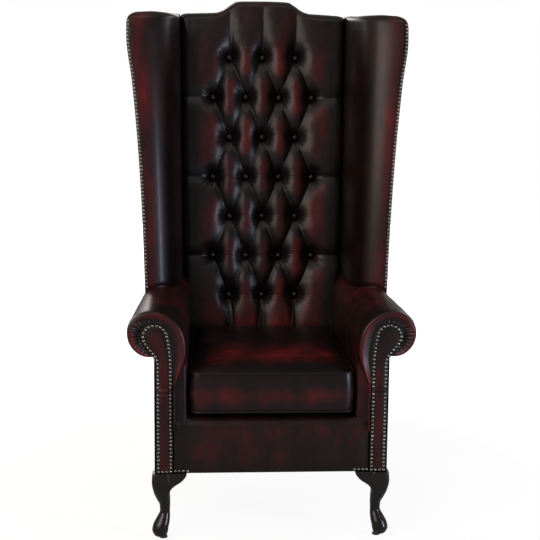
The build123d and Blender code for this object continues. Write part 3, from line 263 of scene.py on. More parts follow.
def antiqueLeather(name, look):
    # Corrected-grain hide, dyed oxblood, then waxed dark and rubbed back by hand: red on the
    # crowns, near black in the folds, with a soft waxy shine. That near black in folds, pits, seams
    # and joins is partly the dark wax and partly painted shade. Its grain of some 0.3 mm wouldn't
    # show, so it is drawn 1.5 mm coarse.
    material, tree, shader = newMaterial(name)
    place = addNode(tree, "ShaderNodeTexCoord").outputs["Object"]
    rubbed = addNode(tree, "ShaderNodeAttribute", attribute_name="rubbed").outputs["Fac"]
    waxAndShade = addNode(tree, "ShaderNodeAttribute", attribute_name="waxAndShade").outputs["Fac"]
    drawn = addNode(tree, "ShaderNodeMapping", {"Vector": place, "Scale": look["streak"]}).outputs["Vector"]
    patches = addNode(
        tree, "ShaderNodeTexNoise",
        {"Vector": drawn, "Scale": 1000 / look["patchMm"], "Detail": 5.0, "Roughness": 0.62},
    ).outputs["Fac"]
    spread = addNode(
        tree, "ShaderNodeMath", {0: patches, 1: look["patchSpread"], 2: -look["patchSpread"] / 2},
        operation="MULTIPLY_ADD",
    ).outputs[0]
    level = addNode(tree, "ShaderNodeMath", {0: rubbed, 1: spread}, operation="ADD").outputs[0]
    tones = [look[tone] for tone in ("dark", "brown", "oxblood", "rubbed")]
    colour = addNode(
        tree, "ShaderNodeValToRGB", {"Fac": level}, stops=list(zip(look["stops"], tones))
    ).outputs["Color"]
    # the near black mixed in here is painted shade in folds, pits, seams and joins, and partly the dark wax
    shaded = addNode(
        tree, "ShaderNodeMix", {"Factor": waxAndShade, 6: colour, 7: toLinear(look["waxAndShadeTone"])}, data_type="RGBA"
    ).outputs[2]
    tree.links.new(shaded, shader.inputs["Base Color"])
    grain = addNode(
        tree, "ShaderNodeTexVoronoi",
        {"Vector": place, "Scale": 1000 / look["grainMm"], "Randomness": 1.0}, feature="F1",
    ).outputs["Distance"]
    creases = addNode(
        tree, "ShaderNodeTexNoise",
        {
            "Vector": place, "Scale": 1000 / look["creaseMm"], "Detail": 4.0, "Roughness": 0.6,
            "Distortion": 0.8,
        },
    ).outputs["Fac"]
    fine = addNode(
        tree, "ShaderNodeBump", {"Height": grain, "Strength": look["grainBump"], "Distance": 0.0003}
    ).outputs["Normal"]
    broad = addNode(
        tree, "ShaderNodeBump",
        {"Height": creases, "Strength": look["creaseBump"], "Distance": 0.001, "Normal": fine},
    ).outputs["Normal"]
    tree.links.new(broad, shader.inputs["Normal"])
    wax = addNode(
        tree, "ShaderNodeMath",
        {0: creases, 1: look["waxSpread"], 2: look["roughness"] - look["waxSpread"] / 2},
        operation="MULTIPLY_ADD",
    ).outputs[0]
    tree.links.new(wax, shader.inputs["Roughness"])
    shader.inputs["IOR"].default_value = 1.5
    shader.inputs["Specular IOR Level"].default_value = look["specular"]
    shader.inputs["Coat Weight"].default_value = look["coat"]
    shader.inputs["Coat Roughness"].default_value = look["coatRoughness"]
    return material


legLook = {"dark": "#080403", "light": "#1a0a07", "streakMm": 3.846, "alongGrain": 0.08}


def lacqueredMahogany(name, look):
    # Carved mahogany under a near-black stain and satin lacquer: grain shows only as faint upright streaks.
    material, tree, shader = newMaterial(name)
    place = addNode(tree, "ShaderNodeTexCoord").outputs["Object"]
    drawn = addNode(
        tree, "ShaderNodeMapping", {"Vector": place, "Scale": (1.0, 1.0, look["alongGrain"])}
    ).outputs["Vector"]
    streaks = addNode(
        tree, "ShaderNodeTexNoise",
        {"Vector": drawn, "Scale": 1000 / look["streakMm"], "Detail": 6.0, "Roughness": 0.6},
    ).outputs["Fac"]
    colour = addNode(
        tree, "ShaderNodeValToRGB", {"Fac": streaks}, stops=[(0.3, look["dark"]), (0.75, look["light"])]
    ).outputs["Color"]
    tree.links.new(colour, shader.inputs["Base Color"])
    raised = addNode(tree, "ShaderNodeBump", {"Height": streaks, "Strength": 0.15, "Distance": 0.0004})
    tree.links.new(raised.outputs["Normal"], shader.inputs["Normal"])
    shader.inputs["Roughness"].default_value = 0.26
    shader.inputs["Specular IOR Level"].default_value = 0.4
    shader.inputs["Coat Weight"].default_value = 0.3
    shader.inputs["Coat Roughness"].default_value = 0.1
    return material


def plainFinish(name, low, high, sizeMm, roughness, metallic=0.0, stretch=(1.0, 1.0, 1.0), bump=0.1):
    material, tree, shader = newMaterial(name)
    place = addNode(tree, "ShaderNodeTexCoord").outputs["Object"]
    drawn = addNode(tree, "ShaderNodeMapping", {"Vector": place, "Scale": stretch}).outputs["Vector"]
    grain = addNode(
        tree, "ShaderNodeTexNoise",
        {"Vector": drawn, "Scale": 1000 / sizeMm, "Detail": 4.0, "Roughness": 0.6},
    ).outputs["Fac"]
    colour = addNode(
        tree, "ShaderNodeValToRGB", {"Fac": grain}, stops=[(0.3, low), (0.7, high)]
    ).outputs["Color"]
    tree.links.new(colour, shader.inputs["Base Color"])
    raised = addNode(tree, "ShaderNodeBump", {"Height": grain, "Strength": bump, "Distance": 0.0005})
    tree.links.new(raised.outputs["Normal"], shader.inputs["Normal"])
    shader.inputs["Roughness"].default_value = roughness
    shader.inputs["Metallic"].default_value = metallic
    return material


leather = antiqueLeather("antiqueOxbloodLeather", leatherLook)
legWood = lacqueredMahogany("stainedMahoganyLacquered", legLook)
# brass stamped into domes and aged: a grey gold, each head with one soft glint
nailBrass = plainFinish("antiqueBrassStamped", "#66645a", "#b4b3a4", 5, 0.3, 1.0)
# sawn beech, left raw: pale and matt, with faint straight grain up the posts
beech = plainFinish("rawBeechSawn", "#b98f5d", "#d8b486", 9, 0.62, 0.0, (1.0, 1.0, 0.15))
# polyurethane foam, cut from a block: cream and matt, with its open cells drawn 1.2 mm coarse
foamFinish = plainFinish("polyurethaneFoamCut", "#d9cda6", "#efe6c6", 1.2, 0.9, bump=0.6)
# woven jute: tan and matt, uneven from yarn to yarn
jute = plainFinish("juteHessianWoven", "#8f7448", "#b99b6a", 1.4, 0.92, bump=0.7)
# bonded black cambric: a dust cover without any shine
cambric = plainFinish("blackCambricNonwoven", "#0d0d0d", "#1c1b1a", 0.8, 0.88, bump=0.5)
# spring steel wire, zinc plated: an even grey shine
springSteel = plainFinish("springSteelZincPlated", "#8f9296", "#b9bcc0", 5, 0.34, 1.0)
# cast zinc under nickel: the zip's warm grey shine
zipNickel = plainFinish("nickelZipCast", "#6f6a60", "#a79f90", 3, 0.3, 1.0)
# moulded nylon: near black with a broad soft sheen
glidePlastic = plainFinish("blackNylonMoulded", "#08080a", "#141416", 2, 0.45)
# waxed linen: brown, with a low sheen
twine = plainFinish("waxedLinenTwine", "#3a2c1e", "#5e4a34", 0.8, 0.7, bump=0.5)

finishOf = {
    "frame_wood": beech, "leg_wood": legWood, "foam": foamFinish, "cloth": cambric, "steel": springSteel,
    "nail_brass": nailBrass, "zip_metal": zipNickel, "glide_plastic": glidePlastic, "leather": leather,
}
print("materials made")


# Back

back = {
    "rows": (3, 4, 3, 4, 3, 4, 3), "topHeight": 1338.0, "rowPitch": 126.5, "column": 107.0,
    "halfTop": 264.0, "halfBottom": 247.0, "low": 158.8, "columns": 218, "frontRows": 424,
    "pitBottom": 52.0, "pitDepth": 33.0, "pitReach": 12.0, "buttonRadius": 9.5, "buttonShade": 15.0,
    "creaseShare": 0.36, "creaseWidth": 15.0, "creaseLine": 3.2, "darkReach": 25.0, "puff": 5.0,
    "wrinkleAt": 25.0, "wrinkleWide": 12.0, "wrinkleHigh": 0.45,
    "crossCreases": ((2.0, 0.9), (-6.0, 0.6)), "crossBelowRow": 2.5,
    "sideFolds": (1, 3, 5), "sideFoldEnd": 300.0, "sideFoldDeep": 1.1, "sideFoldWide": 1.5,
    "crestGap": 22.0, "crestFoldEnd": 0.10, "footFoldLong": 150.0, "footFoldEnd": 0.7, "twinWidth": 4.0,
    "crestFolds": ((-1, 11), (0, 6), (1, -11)), "footFolds": ((-1, 20), (0, -16), (1, -20)),
    "sideRound": 26.0, "sideDrop": 15.0, "uneven": 1.6, "unevenSize": 70.0, "fine": 0.5, "fineSize": 22.0,
    "rollHeight": 30.0, "rollMiddle": 21.5, "rollHalf": 63.5, "rollFoot": 1256.35,
    "rollRows": 26, "rearRows": 4, "innerFront": 40.0, "innerRear": -41.0,
    "crestAt": (0, 60, 84, 93, 104, 118, 134, 150, 182, 230, 264),
    "crestDrop": (0, 1.5, 4, 9, 15.5, 26, 35, 39.5, 41, 43, 45),
    "rubbed": 0.09, "rubbedCrowns": 0.53, "rubbedEdge": -0.1, "outerDark": 0.28, "crestDark": 0.66,
    "crestFrom": 1120, "crestTo": 1250,
    "crestTwin": 0.12, "footTwin": (0.16, 0.12),
}


def rowS(row):
    z = back["topHeight"] - row * back["rowPitch"]
    return (z - chair["legHeight"] - back["pitBottom"] * rakeSin) / rakeCos


buttonPlaces = [
    ((index - (count - 1) / 2) * back["column"], rowS(row))
    for row, count in enumerate(back["rows"]) for index in range(count)
]


def padHalf(s):
    return lerp(back["halfBottom"], back["halfTop"], np.asarray(s, float) / chair["crestTop"])


def crestDrop(x):
    return softCurve(back["crestAt"], back["crestDrop"], np.abs(x))


# The folds of the buttoned leather: start, end, depth at both ends as a share, and reach to each side.
def backFolds():
    half = back["column"] / 2
    full, wide = back["creaseShare"], back["creaseWidth"]
    folds = []
    places = set((round(x, 1), round(s, 1)) for x, s in buttonPlaces)
    for row in range(len(back["rows"]) - 1):
        for x, s in buttonPlaces:
            if abs(s - rowS(row)) < 1:
                for across in (-half, half):
                    if (round(x + across, 1), round(rowS(row + 1), 1)) in places:
                        folds.append((x, s, x + across, rowS(row + 1), full, full, wide))
    for side in (-1, 1):  # from the outer buttons under the wings
        for row in back["sideFolds"]:
            start = (side * 1.5 * back["column"], rowS(row))
            end = (side * back["sideFoldEnd"], rowS(row) + 1)
            folds.append((*start, *end, full, full * back["sideFoldDeep"], wide * back["sideFoldWide"]))
    top = chair["crestTop"] - back["crestGap"]
    for column, twin in back["crestFolds"]:  # from the top row over the crest, each with a thin twin
        x = column * back["column"]
        folds.append((x, rowS(0), x, top, full, back["crestFoldEnd"], wide))
        twinFoot, twinTop = (x + twin * 0.6, rowS(0) + 10), (x + twin, top - 40)
        folds.append((*twinFoot, *twinTop, back["crestTwin"], 0.0, back["twinWidth"]))
    lowest = rowS(len(back["rows"]) - 1)
    for column, twin in back["footFolds"]:  # from the lowest row down behind the cushion
        x = column * back["column"]
        foot = lowest - back["footFoldLong"]
        folds.append((x, lowest, x - twin * 0.2, foot, full, full * back["footFoldEnd"], wide))
        twinTop, twinFoot = (x + twin * 0.3, lowest - 14), (x + twin, foot + 20)
        folds.append((*twinTop, *twinFoot, *back["footTwin"], back["twinWidth"]))
    return folds


# How far the leather lies under its crowns, how much painted shade (partly dark wax) it takes along its
# folds and round its buttons, and how full it is.
def tuftedDepth(x, s):
    fill, worn = np.ones_like(x), np.ones_like(x)
    waxAndShade, wrinkle = np.zeros_like(x), np.zeros_like(x)
    for x0, s0, x1, s1, deep0, deep1, wide in backFolds():
        run = math.hypot(x1 - x0, s1 - s0)
        share = np.clip(((x - x0) * (x1 - x0) + (s - s0) * (s1 - s0)) / run ** 2, 0, 1)
        far = np.hypot(x - x0 - share * (x1 - x0), s - s0 - share * (s1 - s0))
        deep = lerp(deep0, deep1, share)
        fill *= 1 - deep * np.exp(-np.sqrt(far ** 2 + 1.0) / wide)
        worn *= 1 - 2 * deep * np.exp(-(far / back["darkReach"]) ** 2)
        # painted shade along each fold, partly the dark wax that gathers there
        waxAndShade = np.maximum(waxAndShade, np.exp(-(far / back["creaseLine"]) ** 2) * np.clip(deep * 3.2, 0, 1))
    for number, (bx, bs) in enumerate(buttonPlaces):
        far = np.hypot((x - bx) * 1.06, (s - bs) * 0.94)
        past = np.maximum(far - back["buttonRadius"] + 1, 0)
        fill *= 1 - np.exp(-past / back["pitReach"])
        worn *= 1 - np.exp(-(far / (1.7 * back["darkReach"])) ** 2)
        turn = np.arctan2(s - bs, x - bx)
        ring = np.exp(-((far - back["wrinkleAt"]) / back["wrinkleWide"]) ** 2)
        gathers = np.cos(13 * turn + number) + 0.7 * np.cos(21 * turn + 2.3 * number)
        wrinkle += ring * gathers * back["wrinkleHigh"]
        # painted shade round each button, down in its pit
        waxAndShade = np.maximum(waxAndShade, 0.96 * np.exp(-(far / back["buttonShade"]) ** 2.2))
    # short creases where the hide is drawn across a diamond in the lower rows
    for (ax, rowAt), (bx, nextAt) in zip(buttonPlaces, buttonPlaces[1:]):
        if rowAt == nextAt and rowAt < rowS(back["crossBelowRow"]):
            across = (x - ax) / (bx - ax)
            between = ease(0.12, 0.4, across) * ease(0.88, 0.6, across)
            for shift, deep in back["crossCreases"]:
                line = rowAt + shift + 3.0 * np.sin(4 * across + 0.02 * ax + 0.01 * rowAt)
                wrinkle -= deep * between * np.exp(-((s - line) / 2.5) ** 2)
    return back["pitDepth"] * (1 - fill) + back["puff"] * (1 - worn) - wrinkle, waxAndShade, worn


def makeButtonedBack():
    columns = back["columns"]
    u = np.linspace(-1, 1, columns)
    shoulder = chair["crestTop"] - crestDrop(u * padHalf(900)) - back["rollHeight"]
    rows = []  # up the rake, forward of the frame, and the leather's outward direction in both
    for share in np.linspace(0, 1, back["frontRows"]):
        rows.append((lerp(back["low"], shoulder, share), chair["padFront"], 0.0, 1.0))
    for turn in np.linspace(0, math.pi, back["rollRows"] + 1)[1:]:
        s = shoulder + back["rollHeight"] * math.sin(turn)
        n = back["rollMiddle"] + back["rollHalf"] * math.cos(turn)
        normal = np.array([math.sin(turn) * back["rollHalf"], math.cos(turn) * back["rollHeight"]])
        rows.append((s, n, *(normal / np.linalg.norm(normal))))
    rear = back["rollMiddle"] - back["rollHalf"]
    for share in np.linspace(0, 1, back["rearRows"] + 1)[1:]:
        rows.append((lerp(shoulder, back["rollFoot"], share), rear, 0.0, -1.0))
    s, n, outS, outN = (np.array([row[i] * np.ones(columns) for row in rows]) for i in range(4))
    half = padHalf(s)
    x = u[None, :] * half
    steps = np.hypot(np.diff(s, axis=0), np.diff(n, axis=0))
    reach = np.vstack([np.zeros((1, columns)), np.cumsum(steps, 0)]) + back["low"]
    depth, waxAndShade, crown = tuftedDepth(x, reach)
    over = ease(40, -20, n)  # the folds die away over the roll
    depth = depth * (1 - over)
    waxAndShade = waxAndShade * (1 - over)
    atSide = 1 - np.clip((half - np.abs(x)) / back["sideRound"], 0, 1)
    rounding = back["sideDrop"] * (1 - np.sqrt(1 - atSide ** 2))
    depth = depth + rounding * np.where(n > 60, 1.0, 0.5)
    flat = backPoint(x, s, n)
    depth = depth - back["uneven"] * wander(flat, back["unevenSize"])
    depth = depth - back["fine"] * wander(flat, back["fineSize"], 5.0)
    points = backPoint(x, s - outS * depth, n - outN * depth)
    # the hidden rear of the pad, one point at each side of every row
    edgeS, edge = s[:, 0], half[:, 0]
    innerS = np.minimum(edgeS, back["rollFoot"])
    innerN = np.clip(n[:, 0], back["innerRear"], back["innerFront"])
    innerN = np.where(edgeS > back["rollFoot"] + 1, innerN, back["innerFront"])
    innerN[-back["rearRows"]:] = back["innerRear"]
    left, right = backPoint(-edge, innerS, innerN), backPoint(edge, innerS, innerN)
    loops = np.concatenate([left[:, None], points, right[:, None]], 1)
    # towards the pad's sides the red fades and the leather goes darker: partly less wear, partly painted
    # shade where the sides turn in beside the wings
    edgeward = ease(half - 75, half - 20, np.abs(x))
    high = ease(0.16, 0.66, crown) * (1 - edgeward) * (1 - back["outerDark"] * ease(120, 180, np.abs(x)))
    high *= 1 - back["crestDark"] * ease(back["crestFrom"], back["crestTo"], s)
    rubbed = back["rubbed"] + back["rubbedCrowns"] * high * (1 - 0.75 * over)
    rubbed += back["rubbedEdge"] * edgeward
    # painted shade along the pad's sides, where they meet the wings
    waxAndShade = np.maximum(waxAndShade, 0.7 * ease(half - 16, half - 2, np.abs(x)))
    values = {"rubbed": np.pad(rubbed, ((0, 0), (1, 1))), "waxAndShade": np.pad(waxAndShade, ((0, 0), (1, 1)))}
    piece = loftLoops("buttonedBack", loops, leather, values)
    dress(piece, "chair", "leather", "buttoned_back", fill=0.85)


makeButtonedBack()
print("buttoned back made")


# Buttons and nail heads

domeTurn = (0.10, 0.10, 3.1)  # radians: a head leans a little and turns any way round


def domeTree(name):  # domes set on points, each turned to its own facing
    tree = bpy.data.node_groups.new(name, "GeometryNodeTree")
    side = tree.interface
    side.new_socket("Geometry", in_out="INPUT", socket_type="NodeSocketGeometry")
    for label in ("Head Radius", "Head Height"):
        side.new_socket(label, in_out="INPUT", socket_type="NodeSocketFloat")
    side.new_socket("Seed", in_out="INPUT", socket_type="NodeSocketInt")
    side.new_socket("Finish", in_out="INPUT", socket_type="NodeSocketMaterial")
    side.new_socket("Geometry", in_out="OUTPUT", socket_type="NodeSocketGeometry")
    entry = tree.nodes.new("NodeGroupInput").outputs
    head = addNode(
        tree, "GeometryNodeMeshUVSphere", {"Segments": 12, "Rings": 8, "Radius": 1.0}
    ).outputs["Mesh"]
    size = addNode(
        tree, "ShaderNodeCombineXYZ",
        {"X": entry["Head Radius"], "Y": entry["Head Radius"], "Z": entry["Head Height"]},
    ).outputs[0]
    domed = addNode(tree, "GeometryNodeTransform", {"Geometry": head, "Scale": size}).outputs["Geometry"]
    smooth = addNode(tree, "GeometryNodeSetShadeSmooth", {"Geometry": domed}).outputs["Geometry"]
    facing = addNode(
        tree, "GeometryNodeInputNamedAttribute", {"Name": "facing"}, data_type="FLOAT_VECTOR"
    ).outputs["Attribute"]
    turned = addNode(
        tree, "FunctionNodeAlignRotationToVector", {"Vector": facing}, axis="Z"
    ).outputs["Rotation"]
    wobble = addNode(
        tree, "FunctionNodeRandomValue",
        {"Seed": entry["Seed"], 0: [-turn for turn in domeTurn], 1: domeTurn}, data_type="FLOAT_VECTOR",
    ).outputs[0]
    twist = addNode(tree, "FunctionNodeEulerToRotation", {"Euler": wobble}).outputs["Rotation"]
    aimed = addNode(
        tree, "FunctionNodeRotateRotation", {"Rotation": turned, "Rotate By": twist}, rotation_space="LOCAL"
    ).outputs["Rotation"]
    spread = addNode(
        tree, "GeometryNodeInstanceOnPoints",
        {"Points": entry["Geometry"], "Instance": smooth, "Rotation": aimed},
    ).outputs["Instances"]
    real = addNode(tree, "GeometryNodeRealizeInstances", {"Geometry": spread}).outputs["Geometry"]
    done = addNode(tree, "GeometryNodeSetMaterial", {"Geometry": real, "Material": entry["Finish"]})
    addNode(tree, "NodeGroupOutput", {"Geometry": done.outputs[0]})
    return tree


domes = domeTree("domesOnPoints")


def setDomes(name, places, facings, look, finish, seed):
    mesh = bpy.data.meshes.new(name + "Points")
    mesh.from_pydata((np.asarray(places) * 0.001).tolist(), [], [])
    layer = mesh.attributes.new("facing", "FLOAT_VECTOR", "POINT")
    layer.data.foreach_set("vector", np.asarray(facings, np.float32).ravel())
    holder = addObject(name + "Points", mesh)
    modifier = holder.modifiers.new("domes", "NODES")
    modifier.node_group = domes
    inputs = {
        "Head Radius": look["radius"] * 0.001, "Head Height": look["height"] * 0.001, "Seed": seed,
        "Finish": finish,
    }
    for item in domes.interface.items_tree:
        if item.in_out == "INPUT" and item.name != "Geometry":
            modifier[item.identifier] = inputs[item.name]
    ready = holder.evaluated_get(bpy.context.evaluated_depsgraph_get())
    plain = bpy.data.meshes.new_from_object(ready)
    holder.modifiers.clear()
    bpy.data.objects.remove(holder)
    plain.name = name
    return addObject(name, plain)


buttons = {"radius": 9.6, "height": 6.4, "proud": 1.5, "seed": 3}


def makeButtons():
    # the same hide drawn tight over a metal cap, so smoother and shinier
    taut = antiqueLeather("buttonLeather", dict(leatherLook, roughness=0.28, streak=(1.0, 1.0, 1.0)))
    out = np.array([0, -rakeCos, rakeSin])
    places = [backPoint(x, s, back["pitBottom"] + buttons["proud"]) for x, s in buttonPlaces]
    heads = setDomes("coveredButtons", places, [out] * len(places), buttons, taut, buttons["seed"])
    dress(heads, "chair", "leather", "back_buttons")


makeButtons()
print("buttons made")


# Arms and wings: the arm's shape comes first, as the wings stand on it

arm = {
    "innerX": 227.0, "radiusFront": 64.5, "radiusRear": 56.0, "heightFront": 569.5, "heightRear": 608.0,
    "overhang": 8.0, "tuck": 11.0, "endY": 257.0, "endInset": 4.0, "low": 302.0,
    "lineCount": 44, "bigCount": 44, "smallCount": 190, "rims": 26,
    "pleatDepth": 3.4, "pleatWidth": 0.04, "pleatSeed": 7, "pleatStrayDeg": 2.5,
    "pleatTurns": (116, 98, 80, 64, 50, 38, 27, 16, 6, -5, -16, -27, -39, -51, -63),
    "pleatShares": (0.3, 0.5, 0.6, 0.5, 0.7, 0.8, 0.9, 1, 1, 1, 1, 0.95, 0.9, 0.85, 0.7),
    "bulgeAt": (0, 0.05, 0.22, 0.5, 0.74, 0.88, 0.95, 1),
    "bulgeY": (-2.0, -5.5, -5.0, -9.0, -12.5, -9.0, -0.5, 15.0),
    "flatAt": (0, 0.75, 0.9, 1), "flatY": (2.0, 3.5, 7.0, 15.0), "stripFrom": 520, "stripTo": 408,
    "coverStart": 14.0, "uneven": 1.0, "unevenSize": 60.0,
    "rubbed": 0.24, "rubbedRim": 0.36, "rubbedRidge": 0.12, "rubbedRoll": 0.2,
    "frontRows": 16, "rearRows": 60, "hiddenIn": 40, "ridgeAt": 22, "ridgeWide": 12, "rimAt": 0.62,
}


def rollAt(y):  # the scroll's middle, as x and z, and its radius
    return (
        sideX(y) + arm["overhang"], alongSide(arm["heightFront"], arm["heightRear"], y),
        alongSide(arm["radiusFront"], arm["radiusRear"], y),
    )


def armTop(x, y):  # the height of the arm's leather over a point
    middle, z, small = rollAt(y)
    big = middle - arm["innerX"]
    offset = x - middle
    radius = np.where(offset < 0, big, small)
    return z + small - radius + np.sqrt(np.maximum(radius ** 2 - offset ** 2, 0))


wing = {
    "bottom": 600.0, "top": 1442.0, "halfWidth": 357.0, "flare": 52.0, "frontY": -95.0, "setback": 45.0,
    "rise": (0, 0.27, 0.52, 0.76, 0.92, 0.975, 1), "flareShare": (0, 0.13, 0.35, 0.69, 1, 1.0, 1.0),
    "setbackShare": (0, 0.16, 0.38, 0.67, 0.93, 1.13, 1.62), "tilt": math.tan(math.radians(4.5)),
    "band": 12.0, "arcPoints": 54, "frontPull": 1.08, "rearPull": 0.5, "edgeRound": 5.0, "noseEnd": 14.0,
    "topLift": 6.5, "domeHigh": 15.0, "domePower": 0.5, "rearSink": 11.0, "cornerHigh": 38.0,
    "cornerWide": 30.0, "creaseDepth": 4.5, "creaseRows": 38, "creaseZone": 90.0, "middleRows": 104,
    "topRows": 12, "topZone": 45.0, "domeRows": 14, "padJoin": 6.0, "wallPoints": 22,
    "rubbed": 0.30, "rubbedBand": 0.24, "rubbedRear": -0.12, "creaseAt": 2, "creaseWide": 8,
    # behind the pad: how far forward of the frame the leather runs, and how far off the panel's side
    "nearPad": 1.0, "roundPost": -41.5, "overBack": -4.5, "offPanel": 3.4, "offRail": -0.6, "overRear": 0.8,
    "turnShares": (0.3, 0.6, 0.85, 1.0), "turnGive": (0, 0.3, 0.6, 0.8, 0.95, 1.0), "sinkReach": 45.0,
    "panelTop": 0.974, "panelRows": 90, "panelLift": 2.2, "panelThick": 3.0, "panelFront": (5.0, 6.5, 9.0),
    "panelRubbedEdge": 0.12, "panelRubbed": 0.30,
}
wingTall = wing["top"] - wing["bottom"]


def wingLevel(rise):  # height, front corner and slope of a level of the right wing
    z = wing["bottom"] + wingTall * rise
    x = wing["halfWidth"] + wing["flare"] * softCurve(wing["rise"], wing["flareShare"], rise)
    y = wing["frontY"] + wing["setback"] * softCurve(wing["rise"], wing["setbackShare"], rise)
    corner = 1 - wing["cornerHigh"] / wingTall
    into = 0.98 * np.clip((rise - corner) / (1 - corner), 0, 1)
    x = x - wing["cornerWide"] * (1 - math.sqrt(1 - into ** 2))
    return float(z), float(x), float(y), wing["tilt"] * rise


def levelAtDepth(level, n, width):  # where a level meets the plane n forward of the back frame, in plan
    z, _, frontY, slope = level
    up = z - chair["legHeight"] - n * rakeSin + slope * (chair["frameY"] - n * rakeCos - frontY)
    s = up / (rakeCos - slope * rakeSin)
    return backPoint(width(s), s, n)[:2]


def backHalf(s):
    return lerp(chair["halfWidthRear"], chair["halfWidthTop"], s / chair["postTop"])


# The leather in plan, from the outer front edge over the inside to the join with the back.
def wingPlan(level):
    _, x, y, _ = level
    corner = np.array([x, y])
    rear = levelAtDepth(level, -chair["postDepth"], backHalf)
    run = (rear - corner) / np.linalg.norm(rear - corner)
    join = levelAtDepth(level, chair["padFront"] - wing["padJoin"], lambda s: padHalf(s) + 1.0)
    start = np.array([x - wing["band"], y])
    wide, deep = start[0] - join[0], join[1] - start[1]
    t = np.linspace(0, 1, wing["arcPoints"])[:, None]
    pull = start + np.array([-wing["frontPull"] * wide, 0.035 * deep])
    pullRear = join - np.array([0.0, wing["rearPull"] * deep])
    arc = start * (1 - t) ** 3 + 3 * pull * t * (1 - t) ** 2
    arc = arc + 3 * pullRear * t ** 2 * (1 - t) + join * t ** 3
    edge = wing["edgeRound"]
    nose = [
        corner + run * wing["noseEnd"], corner + run * 8, corner + run * edge,
        corner + run * edge * 0.35 + np.array([-edge * 0.3, 0]) * 0.6,
        corner + np.array([-edge, -0.4]), corner + np.array([-edge - 4, -1.2]),
    ]
    path = np.array(nose + list(arc[1:]))
    for _ in range(3):  # rounds the corner between the band and the inside
        path[4:12] = 0.5 * path[4:12] + 0.25 * (path[3:11] + path[5:13])
    return path, run, join, rear


def rearSink(rise, join, rear, plan):  # how far the wing's rear falls off towards its top
    return wing["rearSink"] * rise ** 6 * ease(join[1] - wing["sinkReach"], rear[1], plan[:, 1])


# The rises of the wing's rows, close together where the arm creases it and at its domed top.
def wingRows():
    zone, dome = 1 - wing["topZone"] / wingTall, wing["domeHigh"] / wingTall
    low = np.linspace(0, wing["creaseZone"] / wingTall, wing["creaseRows"], endpoint=False)
    middle = np.linspace(wing["creaseZone"] / wingTall, zone, wing["middleRows"], endpoint=False)
    turns = np.linspace(0, math.radians(88.5), wing["domeRows"])[1:]
    high = np.linspace(zone, 1 - dome, wing["topRows"])
    rises = np.concatenate([low, middle, high, 1 - dome * (1 - np.sin(turns))])
    shrinks = np.ones(len(rises))
    shrinks[-len(turns):] = np.cos(turns) ** wing["domePower"]
    return rises, shrinks


def makeWing(side):
    loops, rubbed, waxAndShade = [], [], []
    backTop = chair["crestTop"] - chair["railDrop"] - back["crestDrop"][-1]
    for rise, shrink in zip(*wingRows()):
        level = wingLevel(rise)
        path, run, join, rear = wingPlan(level)
        corner = np.array([level[1], level[2]])
        inward = np.array([-run[1], run[0]])
        count = len(path)
        along = np.linspace(0, 1, count)
        # behind the tufting the leather turns round the post, and above the outside back it shows
        s = (level[0] - chair["legHeight"]) / rakeCos
        aroundPost = float(ease(backTop - 85, backTop - 55, s))
        aboveBack = float(ease(backTop - 3, backTop + 8, s))
        behind = lerp(wing["nearPad"], wing["roundPost"], aroundPost) + wing["overBack"] * aboveBack
        # near the top it is pulled over the rail
        tucked = lerp(wing["offPanel"], wing["offRail"], float(ease(0.962, 0.978, rise)))
        inner = levelAtDepth(level, behind, lambda s: padHalf(s) - 2.0)
        outer = rear + inward * tucked + run * wing["overRear"] * aboveBack
        turnBack = [levelAtDepth(level, 4.0, lambda s: padHalf(s) + 0.5), inner]
        turnBack += [lerp(inner, outer, t) for t in wing["turnShares"]]
        wallEnd = corner + run * wing["noseEnd"] + inward * tucked
        wall = [lerp(outer, wallEnd, t) for t in np.linspace(0, 1, wing["wallPoints"])[1:-1]]
        hidden = np.array(turnBack + wall)
        plan = np.vstack([path, hidden])
        # the dome shrinks each loop towards the wing's middle line
        far, gap = (plan - corner) @ run, (plan - corner) @ inward
        length = float((rear - corner) @ run)
        inside = np.interp(far, far[8:count], gap[8:count])
        reach = np.clip(far, wing["noseEnd"], length - 16)
        middleLine = corner + run * reach[:, None] + inward * (0.5 * inside + 1.7)[:, None]
        give = np.concatenate([ease(1.0, 0.85, along), wing["turnGive"], np.ones(len(wall))])
        plan = plan + (middleLine - plan) * ((1 - shrink) * give)[:, None]
        across = np.concatenate([along, np.ones(len(turnBack)), np.linspace(1, 0, len(wall))])
        lift = wing["topLift"] * rise ** 6 * (0.4 * ease(0.1, 0.3, across) + 0.6 * ease(0.7, 1.0, across))
        z = level[0] + level[3] * (plan[:, 1] - level[2]) + lift - rearSink(rise, join, rear, plan)
        loops.append(np.column_stack([plan, z]))
        toBack = np.append((level[1] - path[:, 0]) / (level[1] - join[0]), np.ones(len(hidden)))
        band = wing["rubbedBand"] * np.exp(-((toBack - 0.25) / 0.17) ** 2)
        rubbed.append(wing["rubbed"] + band + wing["rubbedRear"] * ease(0.45, 0.8, toBack))
        # painted shade where the wing's inside meets the back
        waxAndShade.append(0.75 * ease(0.965, 1.0, np.append(along, np.zeros(len(hidden)))))
    # a crease where the wing stands on the arm
    loops = np.array(loops)
    height = loops[..., 2] - armTop(loops[..., 0], loops[..., 1])
    normals = gridNormals(loops)
    normals *= np.sign(np.sum(normals * (loops - loops.mean(1, keepdims=True)), -1, keepdims=True))
    shown = np.pad(np.ones(count), (0, len(hidden)))[None, :, None]
    crease = np.exp(-((height - wing["creaseAt"]) / wing["creaseWide"]) ** 2)
    loops = loops - normals * shown * (wing["creaseDepth"] * crease)[..., None]
    # painted shade in that crease on the arm
    waxAndShade = np.maximum(waxAndShade, 0.92 * np.exp(-((height - 1.5) / 4) ** 2))
    dressSide(
        side, "WingInside", loops, {"rubbed": rubbed, "waxAndShade": waxAndShade},
        ("inside_wing_cover", "wing_pad", "wing_cap"), 0.9,
    )


